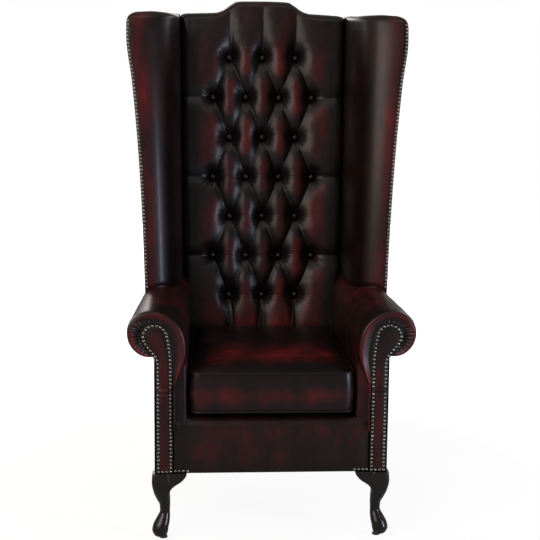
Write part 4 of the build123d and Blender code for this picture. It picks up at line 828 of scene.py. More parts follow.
def makeWingPanel(side):
    loops, rubbed = [], []
    for rise in np.linspace(0, 1, wing["panelRows"]):
        level = wingLevel(rise * wing["panelTop"])
        corner = np.array([level[1], level[2]])
        _, run, join, rear = wingPlan(level)
        length = np.linalg.norm(rear - corner)
        outward = np.array([run[1], -run[0]])
        middle = np.linspace(wing["noseEnd"], length - 8, 30)
        at = np.concatenate([wing["panelFront"], middle, [length - 3, length - 1]])
        swell = np.sin(math.pi * np.clip(at / length, 0, 1)) ** 0.6
        lift = 0.6 + wing["panelLift"] * swell * math.sin(math.pi * min(max(rise, 0.02), 0.98)) ** 0.4
        lift[0], lift[1], lift[-1] = -1.0, 0.2, -1.0
        outer = corner + run * at[:, None] + outward * lift[:, None]
        inner = corner + run * at[::-1][:, None] - outward * wing["panelThick"]
        plan = np.vstack([outer, inner])
        z = level[0] + level[3] * (plan[:, 1] - level[2]) - rearSink(rise, join, rear, plan)
        loops.append(np.column_stack([plan, z]))
        share = np.concatenate([at / length, at[::-1] / length])
        edge = np.minimum(np.minimum(share, 1 - share) * length, (1 - rise) * 800 + 10)
        rubbed.append(wing["panelRubbedEdge"] + wing["panelRubbed"] * ease(5, 90, edge))
    loops = np.array(loops)
    dressSide(side, "OutsideWing", loops, {"rubbed": rubbed}, ["outside_wing_panel"], 0.3, thin=True)


for side in (1, -1):
    makeWing(side)
    makeWingPanel(side)
print("wings made")


# Arms

facing = {
    "innerX": 266.0, "outerX": 311.0, "low": 187.0, "neckFoot": 478.0, "neckZ": 480.0,
    "headX": 313.0, "headZ": 562.0, "headRadius": 37.0, "headFromDeg": 165, "headToDeg": -38,
    "bendX": 341.0, "bendRadius": 30.0, "headEndZ": 539.2, "headToBend": 24.8,
    "inset": -0.5, "padLow": 187.4, "foldZ": 411.0, "foldDepth": 2.0, "lipHeight": 3.2,
    "spine": ((288.5, 205.0), (288.5, 470.0), (291.0, 500.0), (299.0, 535.0), (313.0, 562.0)),
    "padAt": (0, 0.06, 0.14, 0.27, 0.5, 0.8, 1), "padY": (-1.5, -5.0, -6.1, -5.9, -7.2, -8.0, -8.0),
    "rubbedEdge": 0.08, "rubbed": 0.38, "rings": 22, "footPoints": 10, "dense": 3.0,
    "foldWave": 1.2, "foldWidth": 2.2, "lipRise": 5.5, "lipWidth": 3.4,
}


# The arm's leather in section at y, as x and z, from low on its inside over the roll to its underside.
def armSection(y, inset=0.0):
    x, z, radius = rollAt(y)
    small = radius - inset
    big = x - arm["innerX"] - inset
    bigZ = z + small - big
    end = -math.pi / 2 - math.asin(arm["tuck"] / small)
    heights = np.linspace(arm["low"], bigZ, arm["lineCount"], endpoint=False)
    wall = np.column_stack([np.full(arm["lineCount"], x - big), heights])
    turn = np.linspace(math.pi, math.pi / 2, arm["bigCount"], endpoint=False)
    shoulder = np.column_stack([x + big * np.cos(turn), bigZ + big * np.sin(turn)])
    turn = np.linspace(math.pi / 2, end, arm["smallCount"])
    roll = np.column_stack([x + small * np.cos(turn), z + small * np.sin(turn)])
    return np.vstack([wall, shoulder, roll])


# The facing's edge, or a line inside it, from its inner foot round the scroll to its outer foot.
def facingOutline(inset, low, dense=1.0):
    radius = facing["headRadius"] - inset
    bend = facing["bendRadius"]
    first, last = math.radians(facing["headFromDeg"]), math.radians(facing["headToDeg"])
    innerX = facing["innerX"] + inset
    inner = [[innerX, z] for z in np.linspace(low, facing["neckFoot"], int(40 * dense))]
    startX = facing["headX"] + radius * math.cos(first)
    startZ = facing["headZ"] + radius * math.sin(first)
    dx, dz = startX - innerX, startZ - facing["neckZ"]
    big = (dx * dx + dz * dz) / (2 * dx)
    swing = math.atan2(dz, big - dx)
    neckArc = [
        [innerX + big - big * math.cos(a), facing["neckZ"] + big * math.sin(a)]
        for a in np.linspace(0, swing, int(14 * dense), endpoint=False)
    ]
    head = [
        [facing["headX"] + radius * math.cos(a), facing["headZ"] + radius * math.sin(a)]
        for a in np.linspace(first, last, int(44 * dense))
    ]
    bendZ = facing["headEndZ"] - facing["headToBend"] / math.tan(-last) - bend * math.sin(-last)
    neck = [
        [facing["bendX"] - (bend + inset) * math.cos(a), bendZ + (bend + inset) * math.sin(a)]
        for a in np.linspace(-last, 0, int(12 * dense))
    ]
    outer = [[facing["outerX"] - inset, z] for z in np.linspace(bendZ - 4, low, int(44 * dense))]
    return np.array(inner + neckArc + head + neck + outer)


def makeArm(side):
    rims = np.linspace(0, 1, arm["rims"])
    backY = np.concatenate([
        np.linspace(faceY + 18, faceY + 70, arm["frontRows"]),
        np.linspace(faceY + 80, arm["endY"] - 4, arm["rearRows"]),
    ])
    outline = armSection(faceY + arm["coverStart"])
    target = nearestOn(facingOutline(1.5, facing["low"]), outline)
    # the stuffed rim stands proud beside the scroll and dies away to a flat strip below it
    fullRim = ease(arm["stripTo"], arm["stripFrom"], outline[:, 1])
    reach = np.where(outline[:, 0] < 300, 0.16 + 0.84 * fullRim, 1.0)
    width = np.linalg.norm(outline - target, axis=1)
    rows = []
    for share in rims:
        proud = softCurve(arm["bulgeAt"], arm["bulgeY"], np.clip(share / reach, 0, 1))
        flat = softCurve(arm["flatAt"], arm["flatY"], np.full(len(outline), share))
        y = faceY + np.where(reach < 1, np.minimum(proud, flat), proud)
        y = lerp(faceY + arm["coverStart"] * share ** 1.5, y, np.clip(width / 26, 0.25, 1))
        rows.append(atDepth(lerp(target, outline, share), y))
    rows = np.array(rows + [atDepth(armSection(y), y) for y in backY])
    # folds gathered round the stuffed front
    x, z, _ = rollAt(faceY)
    turn = np.unwrap(np.arctan2(rows[arm["rims"], :, 2] - z, rows[arm["rims"], :, 0] - x))
    over = arm["lineCount"] + arm["bigCount"]
    turn += 2 * math.pi * round((math.pi / 2 - turn[over]) / (2 * math.pi))
    rng = np.random.default_rng(arm["pleatSeed"])
    stray = arm["pleatStrayDeg"]
    valley = np.zeros(rows.shape[1])
    for place, depth in zip(arm["pleatTurns"], arm["pleatShares"]):
        place = math.radians(place + rng.uniform(-stray, stray))
        valley = np.maximum(valley, depth * np.exp(-np.abs((turn - place) / arm["pleatWidth"]) ** 1.3))
    reachBack = np.concatenate([ease(-0.04, 0.1, rims) * ease(0.95, 0.3, rims), np.zeros(len(backY))])
    fold = valley[None, :] * reachBack[:, None]
    normals = gridNormals(rows)
    away = np.sum(normals * (rows - np.array([x, 0, z])), -1, keepdims=True)
    outward = np.sign(away - 1e-9 * normals[..., 1:2])
    normals = normals * np.where(rows[..., 1:2] < faceY + 6, np.sign(-normals[..., 1:2]), outward)
    rows = rows - normals * (fold * arm["pleatDepth"])[..., None]
    swell = arm["uneven"] * wander(rows, arm["unevenSize"], 3.0)
    swell = swell * ease(faceY + 10, faceY + 40, rows[..., 1])
    rows = rows + normals * swell[..., None]
    rear = atDepth(armSection(arm["endY"], arm["endInset"]), arm["endY"] + 0.3)  # the rear end, drawn in
    rows = np.concatenate([rows, rear[None]])
    hiddenX = arm["innerX"] + arm["hiddenIn"]
    hidden = [
        [[x - 1.5, y, z + 4], [hiddenX, y, z + 4], [hiddenX, y, arm["low"]]] for x, y, z in rows[:, -1]
    ]
    fromFront = np.concatenate([rims * 30, 30 + backY - backY[0], [700]])
    ridge = np.exp(-((fromFront - arm["ridgeAt"]) / arm["ridgeWide"]) ** 2)
    onRoll = ease(560, 640, rows[..., 2])
    across = rims[:, None] / reach[None, :]
    rim = arm["rubbedRim"] * np.exp(-((across - arm["rimAt"]) / 0.2) ** 2)
    rim = np.pad(rim, ((0, len(backY) + 1), (0, 0)))
    onRoll = arm["rubbedRoll"] * onRoll * ease(30, 140, fromFront)[:, None]
    rubbed = arm["rubbed"] + rim + arm["rubbedRidge"] * ridge[:, None] + onRoll
    # painted shade in the gathered folds, and along the first rims where the arm meets its facing
    waxAndShade = np.clip(fold * 0.95, 0, 1)
    waxAndShade[:2] = 0.6
    waxAndShade = np.vstack([waxAndShade, waxAndShade[-1:]])
    values = {"rubbed": np.pad(rubbed, ((0, 0), (0, 3))), "waxAndShade": np.pad(waxAndShade, ((0, 0), (0, 3)))}
    loops = np.concatenate([rows, np.array(hidden)], 1)
    dressSide(side, "Arm", loops, values, ("arm_cover", "arm_foam"), 0.9)


def makeFacing(side):
    outline = facingOutline(facing["inset"], facing["padLow"], facing["dense"])
    foot = np.linspace(outline[-1][0], outline[0][0], facing["footPoints"] + 2)[1:-1]
    foot = np.column_stack([foot, np.full(facing["footPoints"], facing["padLow"])])
    outline = np.vstack([outline, foot])
    target = nearestOn(np.array(facing["spine"]), outline)
    shares = np.linspace(0, 0.985, facing["rings"])
    rows = [atDepth(outline, faceY + 2)]
    for share in shares:
        y = faceY + float(softCurve(facing["padAt"], facing["padY"], share))
        rows.append(atDepth(lerp(outline, target, share), y))
    rows = np.array(rows)
    # one fold across the facing, with a lip above it
    above = rows[..., 2] - (facing["foldZ"] + facing["foldWave"] * np.sin(rows[..., 0] / 6))
    fold = np.exp(-np.abs(above / facing["foldWidth"]) ** 1.5)
    lip = np.exp(-((above - facing["lipRise"]) / facing["lipWidth"]) ** 2)
    lip = lip + 0.2 * np.exp(-((above + 7) / 5) ** 2)
    rows[1:, :, 1] += (facing["foldDepth"] * fold - facing["lipHeight"] * lip)[1:]
    inside = np.pad(ease(0.15, 0.75, shares), (1, 0))[:, None]
    rubbed = facing["rubbedEdge"] + facing["rubbed"] * inside * np.ones(rows.shape[1])
    # painted shade in the fold across the facing, and round its edge
    waxAndShade = np.clip(fold * 0.8, 0, 1)
    waxAndShade[:2] = 0.6
    dressSide(side, "ArmFacing", rows, {"rubbed": rubbed, "waxAndShade": waxAndShade}, ["arm_facing"], 0.6)


outsideArm = {
    "rows": 60, "columns": 90, "low": 187.2, "wingFrom": 258.2, "wingFoot": 599.0, "lift": 1.8,
    "edgeDrop": 0.9, "uneven": 0.5, "unevenSize": 90.0, "inner": 2.8, "rubbedEdge": 0.10, "rubbed": 0.32,
    "topGuess": 520.0, "long": 640, "tall": 330, "overFace": 0.8, "underGap": 0.2,
}


def makeOutsideArm(side):
    u, v = np.meshgrid(np.linspace(0, 1, outsideArm["columns"]), np.linspace(0, 1, outsideArm["rows"]))
    low = outsideArm["low"]
    z = lerp(low, outsideArm["topGuess"], v)
    for _ in range(6):  # the rear edge leans with the post and the top follows the roll, so both settle
        s = (z - chair["legHeight"] + chair["postDepth"] * rakeSin) / rakeCos
        rear = chair["frameY"] + s * rakeSin + chair["postDepth"] * rakeCos
        y = lerp(faceY - outsideArm["overFace"], rear, u)
        _, rollZ, radius = rollAt(y)
        underRoll = rollZ - np.sqrt(radius ** 2 - arm["overhang"] ** 2) - outsideArm["underGap"]
        z = lerp(low, np.where(y < outsideArm["wingFrom"], underRoll, outsideArm["wingFoot"]), v)
    long, tall = outsideArm["long"], outsideArm["tall"]  # its rough size, for the way to its edges
    edge = np.minimum.reduce([u * long, (1 - u) * long, v * tall, (1 - v) * tall])
    uneven = outsideArm["uneven"] * wander(np.stack([0 * y, y, z], -1), outsideArm["unevenSize"])
    lift = outsideArm["lift"] * ease(0, 60, edge) - outsideArm["edgeDrop"] * (1 - ease(0, 5, edge)) + uneven
    outer = np.stack([sideX(y) + lift, y, z], -1)
    inner = np.stack([sideX(y) - outsideArm["inner"], y, z], -1)[:, ::-1]
    rubbed = outsideArm["rubbedEdge"] + outsideArm["rubbed"] * ease(4, 90, edge)
    values = {"rubbed": np.concatenate([rubbed, rubbed[:, ::-1]], 1)}
    loops = np.concatenate([outer, inner], 1)
    dressSide(side, "OutsideArm", loops, values, ["outside_arm_panel"], 0.3, thin=True)


for side in (1, -1):
    makeArm(side)
    makeFacing(side)
    makeOutsideArm(side)
print("arms made")


# Front border, deck and outside back

border = {
    "half": 265.6, "foot": 187.3, "nose": 25.0, "top": 339.0, "tuckDepth": 42.5, "columns": 150,
    "rearSide": ((42.5, 325), (6, 320), (4.5, 260), (4.5, 187.3)),
    "bulge": 3.6, "waves": 1.2, "waveSize": 75.0, "pucker": 2.0,
    "rubbed": 0.25, "rubbedMiddle": 0.13, "rubbedTop": -0.12,
    "bulgeFoot": 187, "bulgeTall": 140, "puckerIn": 16, "puckerZ": 326,
}


def makeBorder():
    half, nose, top = border["half"], border["nose"], border["top"]
    u = np.linspace(-1, 1, border["columns"])
    profile = [(faceY, z, 1.0) for z in np.linspace(border["foot"], top - nose, 34)]
    for a in np.linspace(0, math.pi / 2, 14)[1:]:
        profile.append((faceY + nose * (1 - math.cos(a)), top - nose + nose * math.sin(a), 1.0))
    profile += [(y, top, 0.6) for y in np.linspace(faceY + nose + 4, faceY + border["tuckDepth"], 6)]
    profile += [(faceY + deep, z, 0.0) for deep, z in border["rearSide"]]
    x = u[None, :] * half * np.ones((len(profile), 1))
    y, z, shown = (np.array(profile)[:, i:i + 1] * np.ones((1, len(u))) for i in range(3))
    edge = half - np.abs(x)
    up = np.clip((z - border["bulgeFoot"]) / border["bulgeTall"], 0, 1)
    bulge = border["bulge"] * np.sin(math.pi * up) * ease(0, 30, edge) * shown
    waves = wander(np.stack([x, y, z], -1), border["waveSize"], 2.0) * border["waves"] * shown
    waves = waves * ease(0, 30, edge) * ease(187, 215, z)
    pucker = border["pucker"] * np.exp(-((edge - border["puckerIn"]) / 12) ** 2)
    pucker = pucker * np.exp(-((z - border["puckerZ"]) / 14) ** 2)
    y = y - (bulge + waves) * (z < top - 2) - pucker
    z = z + np.where(shown > 0, 0.7 * waves * ease(300, 335, z), 0)
    middle = border["rubbedMiddle"] * ease(190, 240, z) * ease(0, 70, edge)
    rubbed = border["rubbed"] + middle + border["rubbedTop"] * ease(295, 330, z)
    # painted shade down both ends, where the border meets the arms
    waxAndShade = 0.9 * np.exp(-(edge / 5) ** 2) * shown
    loops = np.swapaxes(np.stack([x, y, z], -1), 0, 1)
    piece = loftLoops("frontBorder", loops, leather, {"rubbed": rubbed.T, "waxAndShade": waxAndShade.T})
    dress(piece, "chair", "leather", "front_border", fill=0.7)


deck = {
    "corner": 12.0,
    "underside": ((1, 3), (3, 1)),  # above the node's foot, and inside its sides
    "topside": ((-6, 0.6), (-2.5, 2), (-0.8, 6), (-0.3, 14), (-1.0, 60), (-2.0, 120), (-2.5, 180)),
}


def makeDeck():
    low, high = (np.array(corner) * 1e3 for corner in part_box("seat_deck"))
    middle, half = (low + high) / 2, (high - low) / 2
    levels = [(low[2] + up, inset) for up, inset in deck["underside"]]
    levels += [(high[2] + up, inset) for up, inset in deck["topside"]]
    loops = []
    for z, inset in levels:
        path = roundedRectangle(*middle[:2], *(half[:2] - inset), deck["corner"], 6)
        loops.append([(x, y, z) for x, y in path])
    dress(loftLoops("seatDeck", loops, cambric), "chair", "cloth", "seat_deck", fill=0.6)


outsideBack = {
    "low": 3.6, "top": 1262.0, "rows": 150, "columns": 100, "depth": 44.6, "innerDepth": 42.1,
    "lift": 2.6, "edgeDrop": 2.4, "uneven": 0.8, "unevenSize": 150.0, "rubbedEdge": 0.10, "rubbed": 0.30,
    "nailInset": 8.0, "nailDepth": 46.4,
}


def outsideHalf(s):
    return lerp(chair["halfWidthRear"], chair["halfWidthTop"], np.clip(s / outsideBack["top"], 0, 1))


def makeOutsideBack():
    low = outsideBack["low"]
    u = np.linspace(-1, 1, outsideBack["columns"])
    topX = u * chair["halfWidthTop"]
    top = chair["crestTop"] - chair["railDrop"] - crestDrop(topX)
    s = lerp(low, top[None, :], np.linspace(0, 1, outsideBack["rows"])[:, None])
    x = u[None, :] * outsideHalf(s)
    edge = np.minimum.reduce([outsideHalf(s) - np.abs(x), s - low, top[None, :] - s])
    lift = outsideBack["lift"] * ease(0, 160, edge) - outsideBack["edgeDrop"] * (1 - ease(0, 6, edge))
    lift = lift + outsideBack["uneven"] * wander(np.stack([x, s, 0 * x], -1), outsideBack["unevenSize"])
    outer = backPoint(x, s, -outsideBack["depth"] - lift)
    inner = backPoint(x, s, -outsideBack["innerDepth"])[:, ::-1]
    rubbed = outsideBack["rubbedEdge"] + outsideBack["rubbed"] * ease(5, 120, edge)
    values = {"rubbed": np.concatenate([rubbed, rubbed[:, ::-1]], 1)}
    piece = loftLoops("outsideBack", np.concatenate([outer, inner], 1), leather, values, thin=True)
    dress(piece, "chair", "leather", "outside_back_panel", fill=0.3)
    # the line its nails follow: up one side, over the top and down the other
    inset, n = outsideBack["nailInset"], -outsideBack["nailDepth"]
    up = np.linspace(low + inset, outsideBack["top"], 40)
    down = np.linspace(outsideBack["top"], low + inset, 40)
    return np.concatenate([
        backPoint(-outsideHalf(up) + inset, up, n), backPoint(topX[4:-4] * 0.985, top[4:-4] - inset, n),
        backPoint(outsideHalf(down) - inset, down, n),
    ])


makeBorder()
makeDeck()
backPath = makeOutsideBack()
print("border, deck and outside back made")


# Nails

nails = {
    "radius": 3.7, "height": 2.5, "pitch": 10.6, "edge": 6.0, "rowZ": 193.0, "facingDepth": 5.6,
    "footRow": (272.0, 305.0), "borderRow": (227.0, 260.0), "borderDepth": 0.6,
    "wingFrom": 0.06, "wingTo": 0.965, "wingInset": 6.2, "seeds": (11, 12, 13),
}


def makeNails():
    pitch, rowZ = nails["pitch"], nails["rowZ"]
    surface = faceY - nails["facingDepth"]
    scroll = evenPoints(atDepth(facingOutline(nails["edge"], rowZ, 2.0), surface), pitch)
    foot = evenPoints([(x, surface, rowZ) for x in nails["footRow"]], pitch)[1:-1]
    below = evenPoints([(x, faceY - nails["borderDepth"], rowZ) for x in nails["borderRow"]], pitch)
    front = np.concatenate([scroll, foot, below])
    path = []
    for rise in np.linspace(nails["wingFrom"], nails["wingTo"], 60):
        z, x, y, _ = wingLevel(rise)
        path.append((x - nails["wingInset"], y - 1.0, z))
    edge = evenPoints(path, pitch)
    sets = (
        ("frontNails", np.concatenate([front, mirrored(front)]), (0, -1, 0), ["front_nails"]),
        ("wingNails", np.concatenate([edge, mirrored(edge)]), (0, -1, 0.05), ["wing_nails"]),
        ("outsideBackNails", evenPoints(backPath, pitch), (0, rakeCos, -rakeSin), []),
    )
    for (name, heads, out, replaced), seed in zip(sets, nails["seeds"]):
        piece = setDomes(name, heads, [out] * len(heads), nails, nailBrass, seed)
        dress(piece, "chair", "nail_brass", *replaced)


makeNails()
print("nails made")


# Seat cushion

cushion = {
    "half": 219.0, "front": -386.4, "rear": 137.99, "low": 357.0, "high": 463.0, "corner": 28.0,
    "crown": 21.0, "rearCrown": 19.0, "belly": 11.5, "bulge": 3.6, "sag": 1.5, "around": 560,
    "insets": (0.5, 1.5, 3, 6, 10, 16, 24, 34, 46, 60, 78, 98, 120, 142, 164, 184, 200), "borderRows": 30,
    "uneven": 1.1, "unevenSize": 80.0, "fine": 0.35, "fineSize": 24.0, "pucker": 1.3, "puckerSize": 13.0,
    "rubbedTop": 0.14, "rubbedBand": 0.56, "bandY": -255.0, "rubbedBorder": 0.16, "rubbedBow": 0.34,
    "rubbedBottom": 0.2, "piping": 2.7, "pipingAround": 360, "pipingSides": 12, "pipingWearAndSheen": 0.16,
    "zipZ": 410.0, "zipHalf": 5.2, "zipReach": 192.0, "zipDepth": 4.2,
}
cushionMiddle = (cushion["rear"] + cushion["front"]) / 2


# Points round the cushion in plan, so far inside its seam.
def cushionOutline(inset, count=cushion["around"]):
    halfY = (cushion["rear"] - cushion["front"]) / 2 - inset
    radius = max(cushion["corner"] - 0.35 * inset, 10.0)
    path = roundedRectangle(0, cushionMiddle, cushion["half"] - inset, halfY, radius, 10)
    path = np.array(path + path[:1])
    lengths = np.concatenate([[0], np.cumsum(np.linalg.norm(np.diff(path, axis=0), axis=1))])
    at = np.linspace(0, lengths[-1], count, endpoint=False)
    return np.stack([np.interp(at, lengths, path[:, axis]) for axis in range(2)], -1)


def frontSag(plan):  # the top seam dips a little along the front
    middle = np.cos(plan[:, 0] / cushion["half"] * math.pi / 2)
    return cushion["sag"] * middle * ease(-250, -386, plan[:, 1])


def makeCushion():
    low, high = cushion["low"], cushion["high"]
    rows = []  # inset, height, share up the border, and which panel
    for inset in reversed(cushion["insets"]):
        z = low - cushion["belly"] * (1 - (1 - min(inset / 60, 1)) ** 2.4)
        rows.append((inset, z, 0.0, "bottom"))
    for share in np.linspace(0, 1, cushion["borderRows"])[1:-1]:
        bow = math.sin(math.pi * share) ** 0.7
        rows.append((-cushion["bulge"] * bow, lerp(low, high, share), share, "border"))
    for inset in cushion["insets"]:
        z = high + cushion["crown"] * (1 - (1 - min(inset / 150, 1)) ** 3.2)
        rows.append((inset, z, 0.0, "top"))
    points, rubbed, waxAndShade = [], [], []
    sag = frontSag(cushionOutline(0))
    for inset, z, share, panel in rows:
        plan = cushionOutline(inset)
        height = np.full(len(plan), z)
        if panel == "top":
            rearRise = cushion["rearCrown"] * ease(-330, 20, plan[:, 1]) * ease(0, 26, inset)
            height = height - sag * ease(60, 0, inset) + rearRise
            band = cushion["rubbedBand"] * np.exp(-((plan[:, 1] - cushion["bandY"]) / 110) ** 2)
            inside = ease(8, 60, inset) * ease(-10, 60, cushion["half"] - np.abs(plan[:, 0]))
            rubbed.append(cushion["rubbedTop"] + band * inside)
            nearSeam = abs(z - low) + 99
        elif panel == "border":
            height = height - sag * share
            bow = cushion["rubbedBow"] * math.exp(-((share - 0.42) / 0.24) ** 2)
            rubbed.append(np.full(len(plan), cushion["rubbedBorder"] + bow))
            nearSeam = min(abs(z - low), abs(z - high))
        else:
            rubbed.append(np.full(len(plan), cushion["rubbedBottom"]))
            nearSeam = abs(z - low)
        points.append(np.column_stack([plan, height]))
        # painted shade along the piped seams
        waxAndShade.append(np.full(len(plan), 0.85 * math.exp(-(nearSeam / 4) ** 2)))
    points = np.array(points)
    normals = gridNormals(points)
    centre = np.array([0, cushionMiddle, (low + high) / 2])
    normals *= np.sign(np.sum(normals * (points - centre), -1, keepdims=True))
    soft = cushion["uneven"] * wander(points, cushion["unevenSize"], 9.0)
    soft = soft + cushion["fine"] * wander(points, cushion["fineSize"], 1.0)
    onSeam = np.minimum(np.abs(points[..., 2] - low), np.abs(points[..., 2] - high))
    pucker = cushion["pucker"] * wander(points, cushion["puckerSize"], 4.0)
    pucker = pucker * np.exp(-onSeam / 8) * ease(0, 2.5, onSeam)
    points = points + normals * (soft * ease(0, 9, onSeam) + pucker)[..., None]
    # the border stands back along the zip, so the tape and the slider are free
    onBorder = np.array([panel == "border" for _, _, _, panel in rows])[:, None]
    x, y, z = points[..., 0], points[..., 1], points[..., 2]
    atRear = (y > 100) & (np.abs(x) < cushion["zipReach"])
    nearZip = atRear & (np.abs(z - cushion["zipZ"]) < cushion["zipHalf"])
    zipY = cushion["rear"] + cushion["bulge"] - cushion["zipDepth"]
    points[..., 1] = np.where(nearZip & onBorder, zipY, y)
    piece = loftLoops("seatCushion", points, leather, {"rubbed": rubbed, "waxAndShade": waxAndShade})
    panels = ("cushion_top_panel", "cushion_border", "cushion_bottom_panel", "cushion_foam")
    dress(piece, "seat_cushion", "leather", *panels, fill=0.85)


def makePiping(name, z, node, sagShare):
    count, radius = cushion["pipingAround"], cushion["piping"]
    path = cushionOutline(-radius * 0.55, count)
    path = np.column_stack([path, z - sagShare * frontSag(path)])
    ahead = np.roll(path, -1, 0) - np.roll(path, 1, 0)
    ahead /= np.linalg.norm(ahead, axis=1, keepdims=True)
    outward = np.cross(ahead, (0, 0, 1))
    upward = np.cross(outward, ahead)
    rings = [
        path + radius * (outward * math.cos(a) + upward * math.sin(a))
        for a in np.linspace(0, 2 * math.pi, cushion["pipingSides"], endpoint=False)
    ]
    rings = np.array(rings + rings[:1])
    # the piping a little lighter than the dark: partly wear, partly a painted highlight on the cord
    values = {"rubbed": np.full(rings.shape[:2], cushion["pipingWearAndSheen"])}
    cord = makeMesh(name, rings.reshape(-1, 3), gridFaces(len(rings), count, wrap=True), leather, values)
    dress(cord, "seat_cushion", "leather", node, fill=1.0)


makeCushion()
makePiping("topPiping", cushion["high"], "top_piping", 1.0)
makePiping("bottomPiping", cushion["low"], "bottom_piping", 0.0)
print("seat cushion made")


# Front legs

leg = {
    "foot": 3.0, "rows": 100, "around": 40,
    "z": (3, 10.36, 26, 39.8, 56.36, 74.76, 91.32, 109.72, 133.64, 159.4, 187),
    "width": (23.5, 33.84, 44.18, 43.71, 36.66, 27.5, 29.14, 37.13, 45.12, 51.7, 47),
    "inward": (30.55, 23.0, 22.1, 24.9, 30.3, 34.7, 34.5, 30.8, 26.6, 25.85, 25.38),
    "squareFrom": 95.0, "squareTo": 165.0, "squareness": 0.55, "corner": (324.0, -395.0),
    "earReach": (44, 52, 58, 66, 76, 83, 89, 93.5, 95), "earRows": 30,
    "earFoot": (124, 140, 147, 153, 159, 165, 172, 178, 184),
    "earFront": 6.0, "earThick": 24.0, "earBevel": 3.0, "voxel": 1.6, "smoothing": 9,
}


def legCore():  # a smooth cabriole
    cornerX, cornerY = leg["corner"]
    turns = np.linspace(0, 2 * math.pi, leg["around"], endpoint=False)
    loops = []
    for z in np.linspace(leg["foot"], chair["legHeight"], leg["rows"]):
        half = 0.5 * float(softCurve(leg["z"], leg["width"], z))
        inward = float(softCurve(leg["z"], leg["inward"], z))
        # a power of 1 is round, and a lower one is squarer
        power = 1 - leg["squareness"] * float(ease(leg["squareFrom"], leg["squareTo"], z))
        x = np.sign(np.cos(turns)) * np.abs(np.cos(turns)) ** power * half
        y = np.sign(np.sin(turns)) * np.abs(np.sin(turns)) ** power * half
        loops.append(np.column_stack([cornerX - inward + x, cornerY + inward + y, np.full(len(turns), z)]))
    return loftLoops("legCore", loops, legWood)


def legEar(turned):  # the ear on an inner face: along the front, or turned along the side
    cornerX, cornerY = leg["corner"]
    top, bevel, first, last = chair["legHeight"], leg["earBevel"], leg["earReach"][0], leg["earReach"][-1]
    loops = []
    for out in np.linspace(first, last, leg["earRows"]):
        foot = float(softCurve(leg["earReach"], leg["earFoot"], out))
        thick = leg["earThick"] * (1 - 0.12 * (out - first) / (last - first))
        ring = []
        around = ((0, top), (1, top), (1, foot + bevel), (0.8, foot), (0.2, foot), (0, foot + bevel))
        for across, z in around:
            inside = leg["earFront"] + across * thick
            inX, inY = (inside, out) if turned else (out, inside)
            ring.append((cornerX - inX, cornerY + inY, z))
        loops.append(ring)
    return loftLoops("legEar", loops, legWood)


def makeLeg(side):  # the cabriole and its two ears, run together as one carved piece
    shell = bmesh.new()
    for part in (legCore(), legEar(False), legEar(True)):
        shell.from_mesh(part.data)
        bpy.data.objects.remove(part)
    if side < 0:
        bmesh.ops.scale(shell, vec=(-1, 1, 1), verts=shell.verts)
        bmesh.ops.reverse_faces(shell, faces=shell.faces)
    name = sideWord[side] + "CabrioleLeg"
    rough = bpy.data.meshes.new(name)
    shell.to_mesh(rough)
    shell.free()
    block = addObject(name, rough)
    remesh = block.modifiers.new("remesh", "REMESH")
    remesh.mode = "VOXEL"
    remesh.voxel_size = leg["voxel"] / 1000
    block.modifiers.new("smooth", "SMOOTH").iterations = leg["smoothing"]
    carved = bpy.data.meshes.new_from_object(block.evaluated_get(bpy.context.evaluated_depsgraph_get()))
    bpy.data.objects.remove(block)
    carved.name = name
    carved.shade_smooth()
    carved.materials.clear()
    carved.materials.append(legWood)
    dress(addObject(name, carved), "chair", "leg_wood", sideWord[side] + "_front_leg")


for side in (1, -1):
    makeLeg(side)
print("legs made")


# Camera, light and floor

camera = {
    "place": (-0.165, -2.925, 1.099), "yawDeg": 3.50, "pitchDeg": 7.99, "rollDeg": 0.57,
    "focalPx": 976, "framePx": 540, "sensorMm": 36,
}
lamps = {  # place, target, size, power in watts, colour
    "leftSoftbox": ((-2.1, -2.3, 2.2), (0, 0, 0.9), (2.5, 2.3), 64, "#fff3e8"),
    "rightWindow": ((2.0, -1.5, 0.72), (0, 0, 0.8), (0.13, 1.1), 27, "#dde2ff"),
    "topSoftbox": ((0.0, -0.7, 3.1), (0, 0.1, 0.8), (1.8, 1.2), 6, "#ffffff"),
    "rightRearFill": ((2.7, 2.5, 2.0), (0.3, 0.1, 0.7), (2.0, 2.0), 24, "#f6f4ff"),
    "leftRearFill": ((-2.7, 2.5, 2.0), (-0.3, 0.1, 0.7), (2.0, 2.0), 24, "#fffaf4"),
    "rearSoftbox": ((-0.6, 3.6, 2.1), (0, 0.35, 0.8), (1.8, 1.6), 28, "#fffaf4"),
}
studio = {
    "white": "#ffffff", "worldLight": "#fff4ea", "worldStrength": 0.14, "inGloss": 0.12,
    "floor": "#9a9a9a", "floorGlow": 1.52, "glowNear": 0.6, "glowFar": 1.0, "nearM": 0.9, "farM": 2.4,
    "floorCorners": ((-6e3, -5e3, 0), (6e3, -5e3, 0), (6e3, 9e3, 0), (-6e3, 9e3, 0)),
}


def makeCamera():
    yaw, pitch, roll = (math.radians(camera[key]) for key in ("yawDeg", "pitchDeg", "rollDeg"))
    ahead = Vector((math.sin(yaw) * math.cos(pitch), math.cos(yaw) * math.cos(pitch), -math.sin(pitch)))
    right = Vector((math.cos(yaw), -math.sin(yaw), 0))
    up = right.cross(ahead)
    tiltedRight = right * math.cos(roll) + up * math.sin(roll)
    tiltedUp = up * math.cos(roll) - right * math.sin(roll)
    lens = bpy.data.cameras.new("photoCamera")
    lens.sensor_width = camera["sensorMm"]
    lens.lens = camera["sensorMm"] * camera["focalPx"] / camera["framePx"]
    eye = addObject("photoCamera", lens)
    turn = Matrix((tiltedRight, tiltedUp, -ahead)).transposed().to_4x4()
    eye.matrix_world = Matrix.Translation(camera["place"]) @ turn
    bpy.context.scene.camera = eye


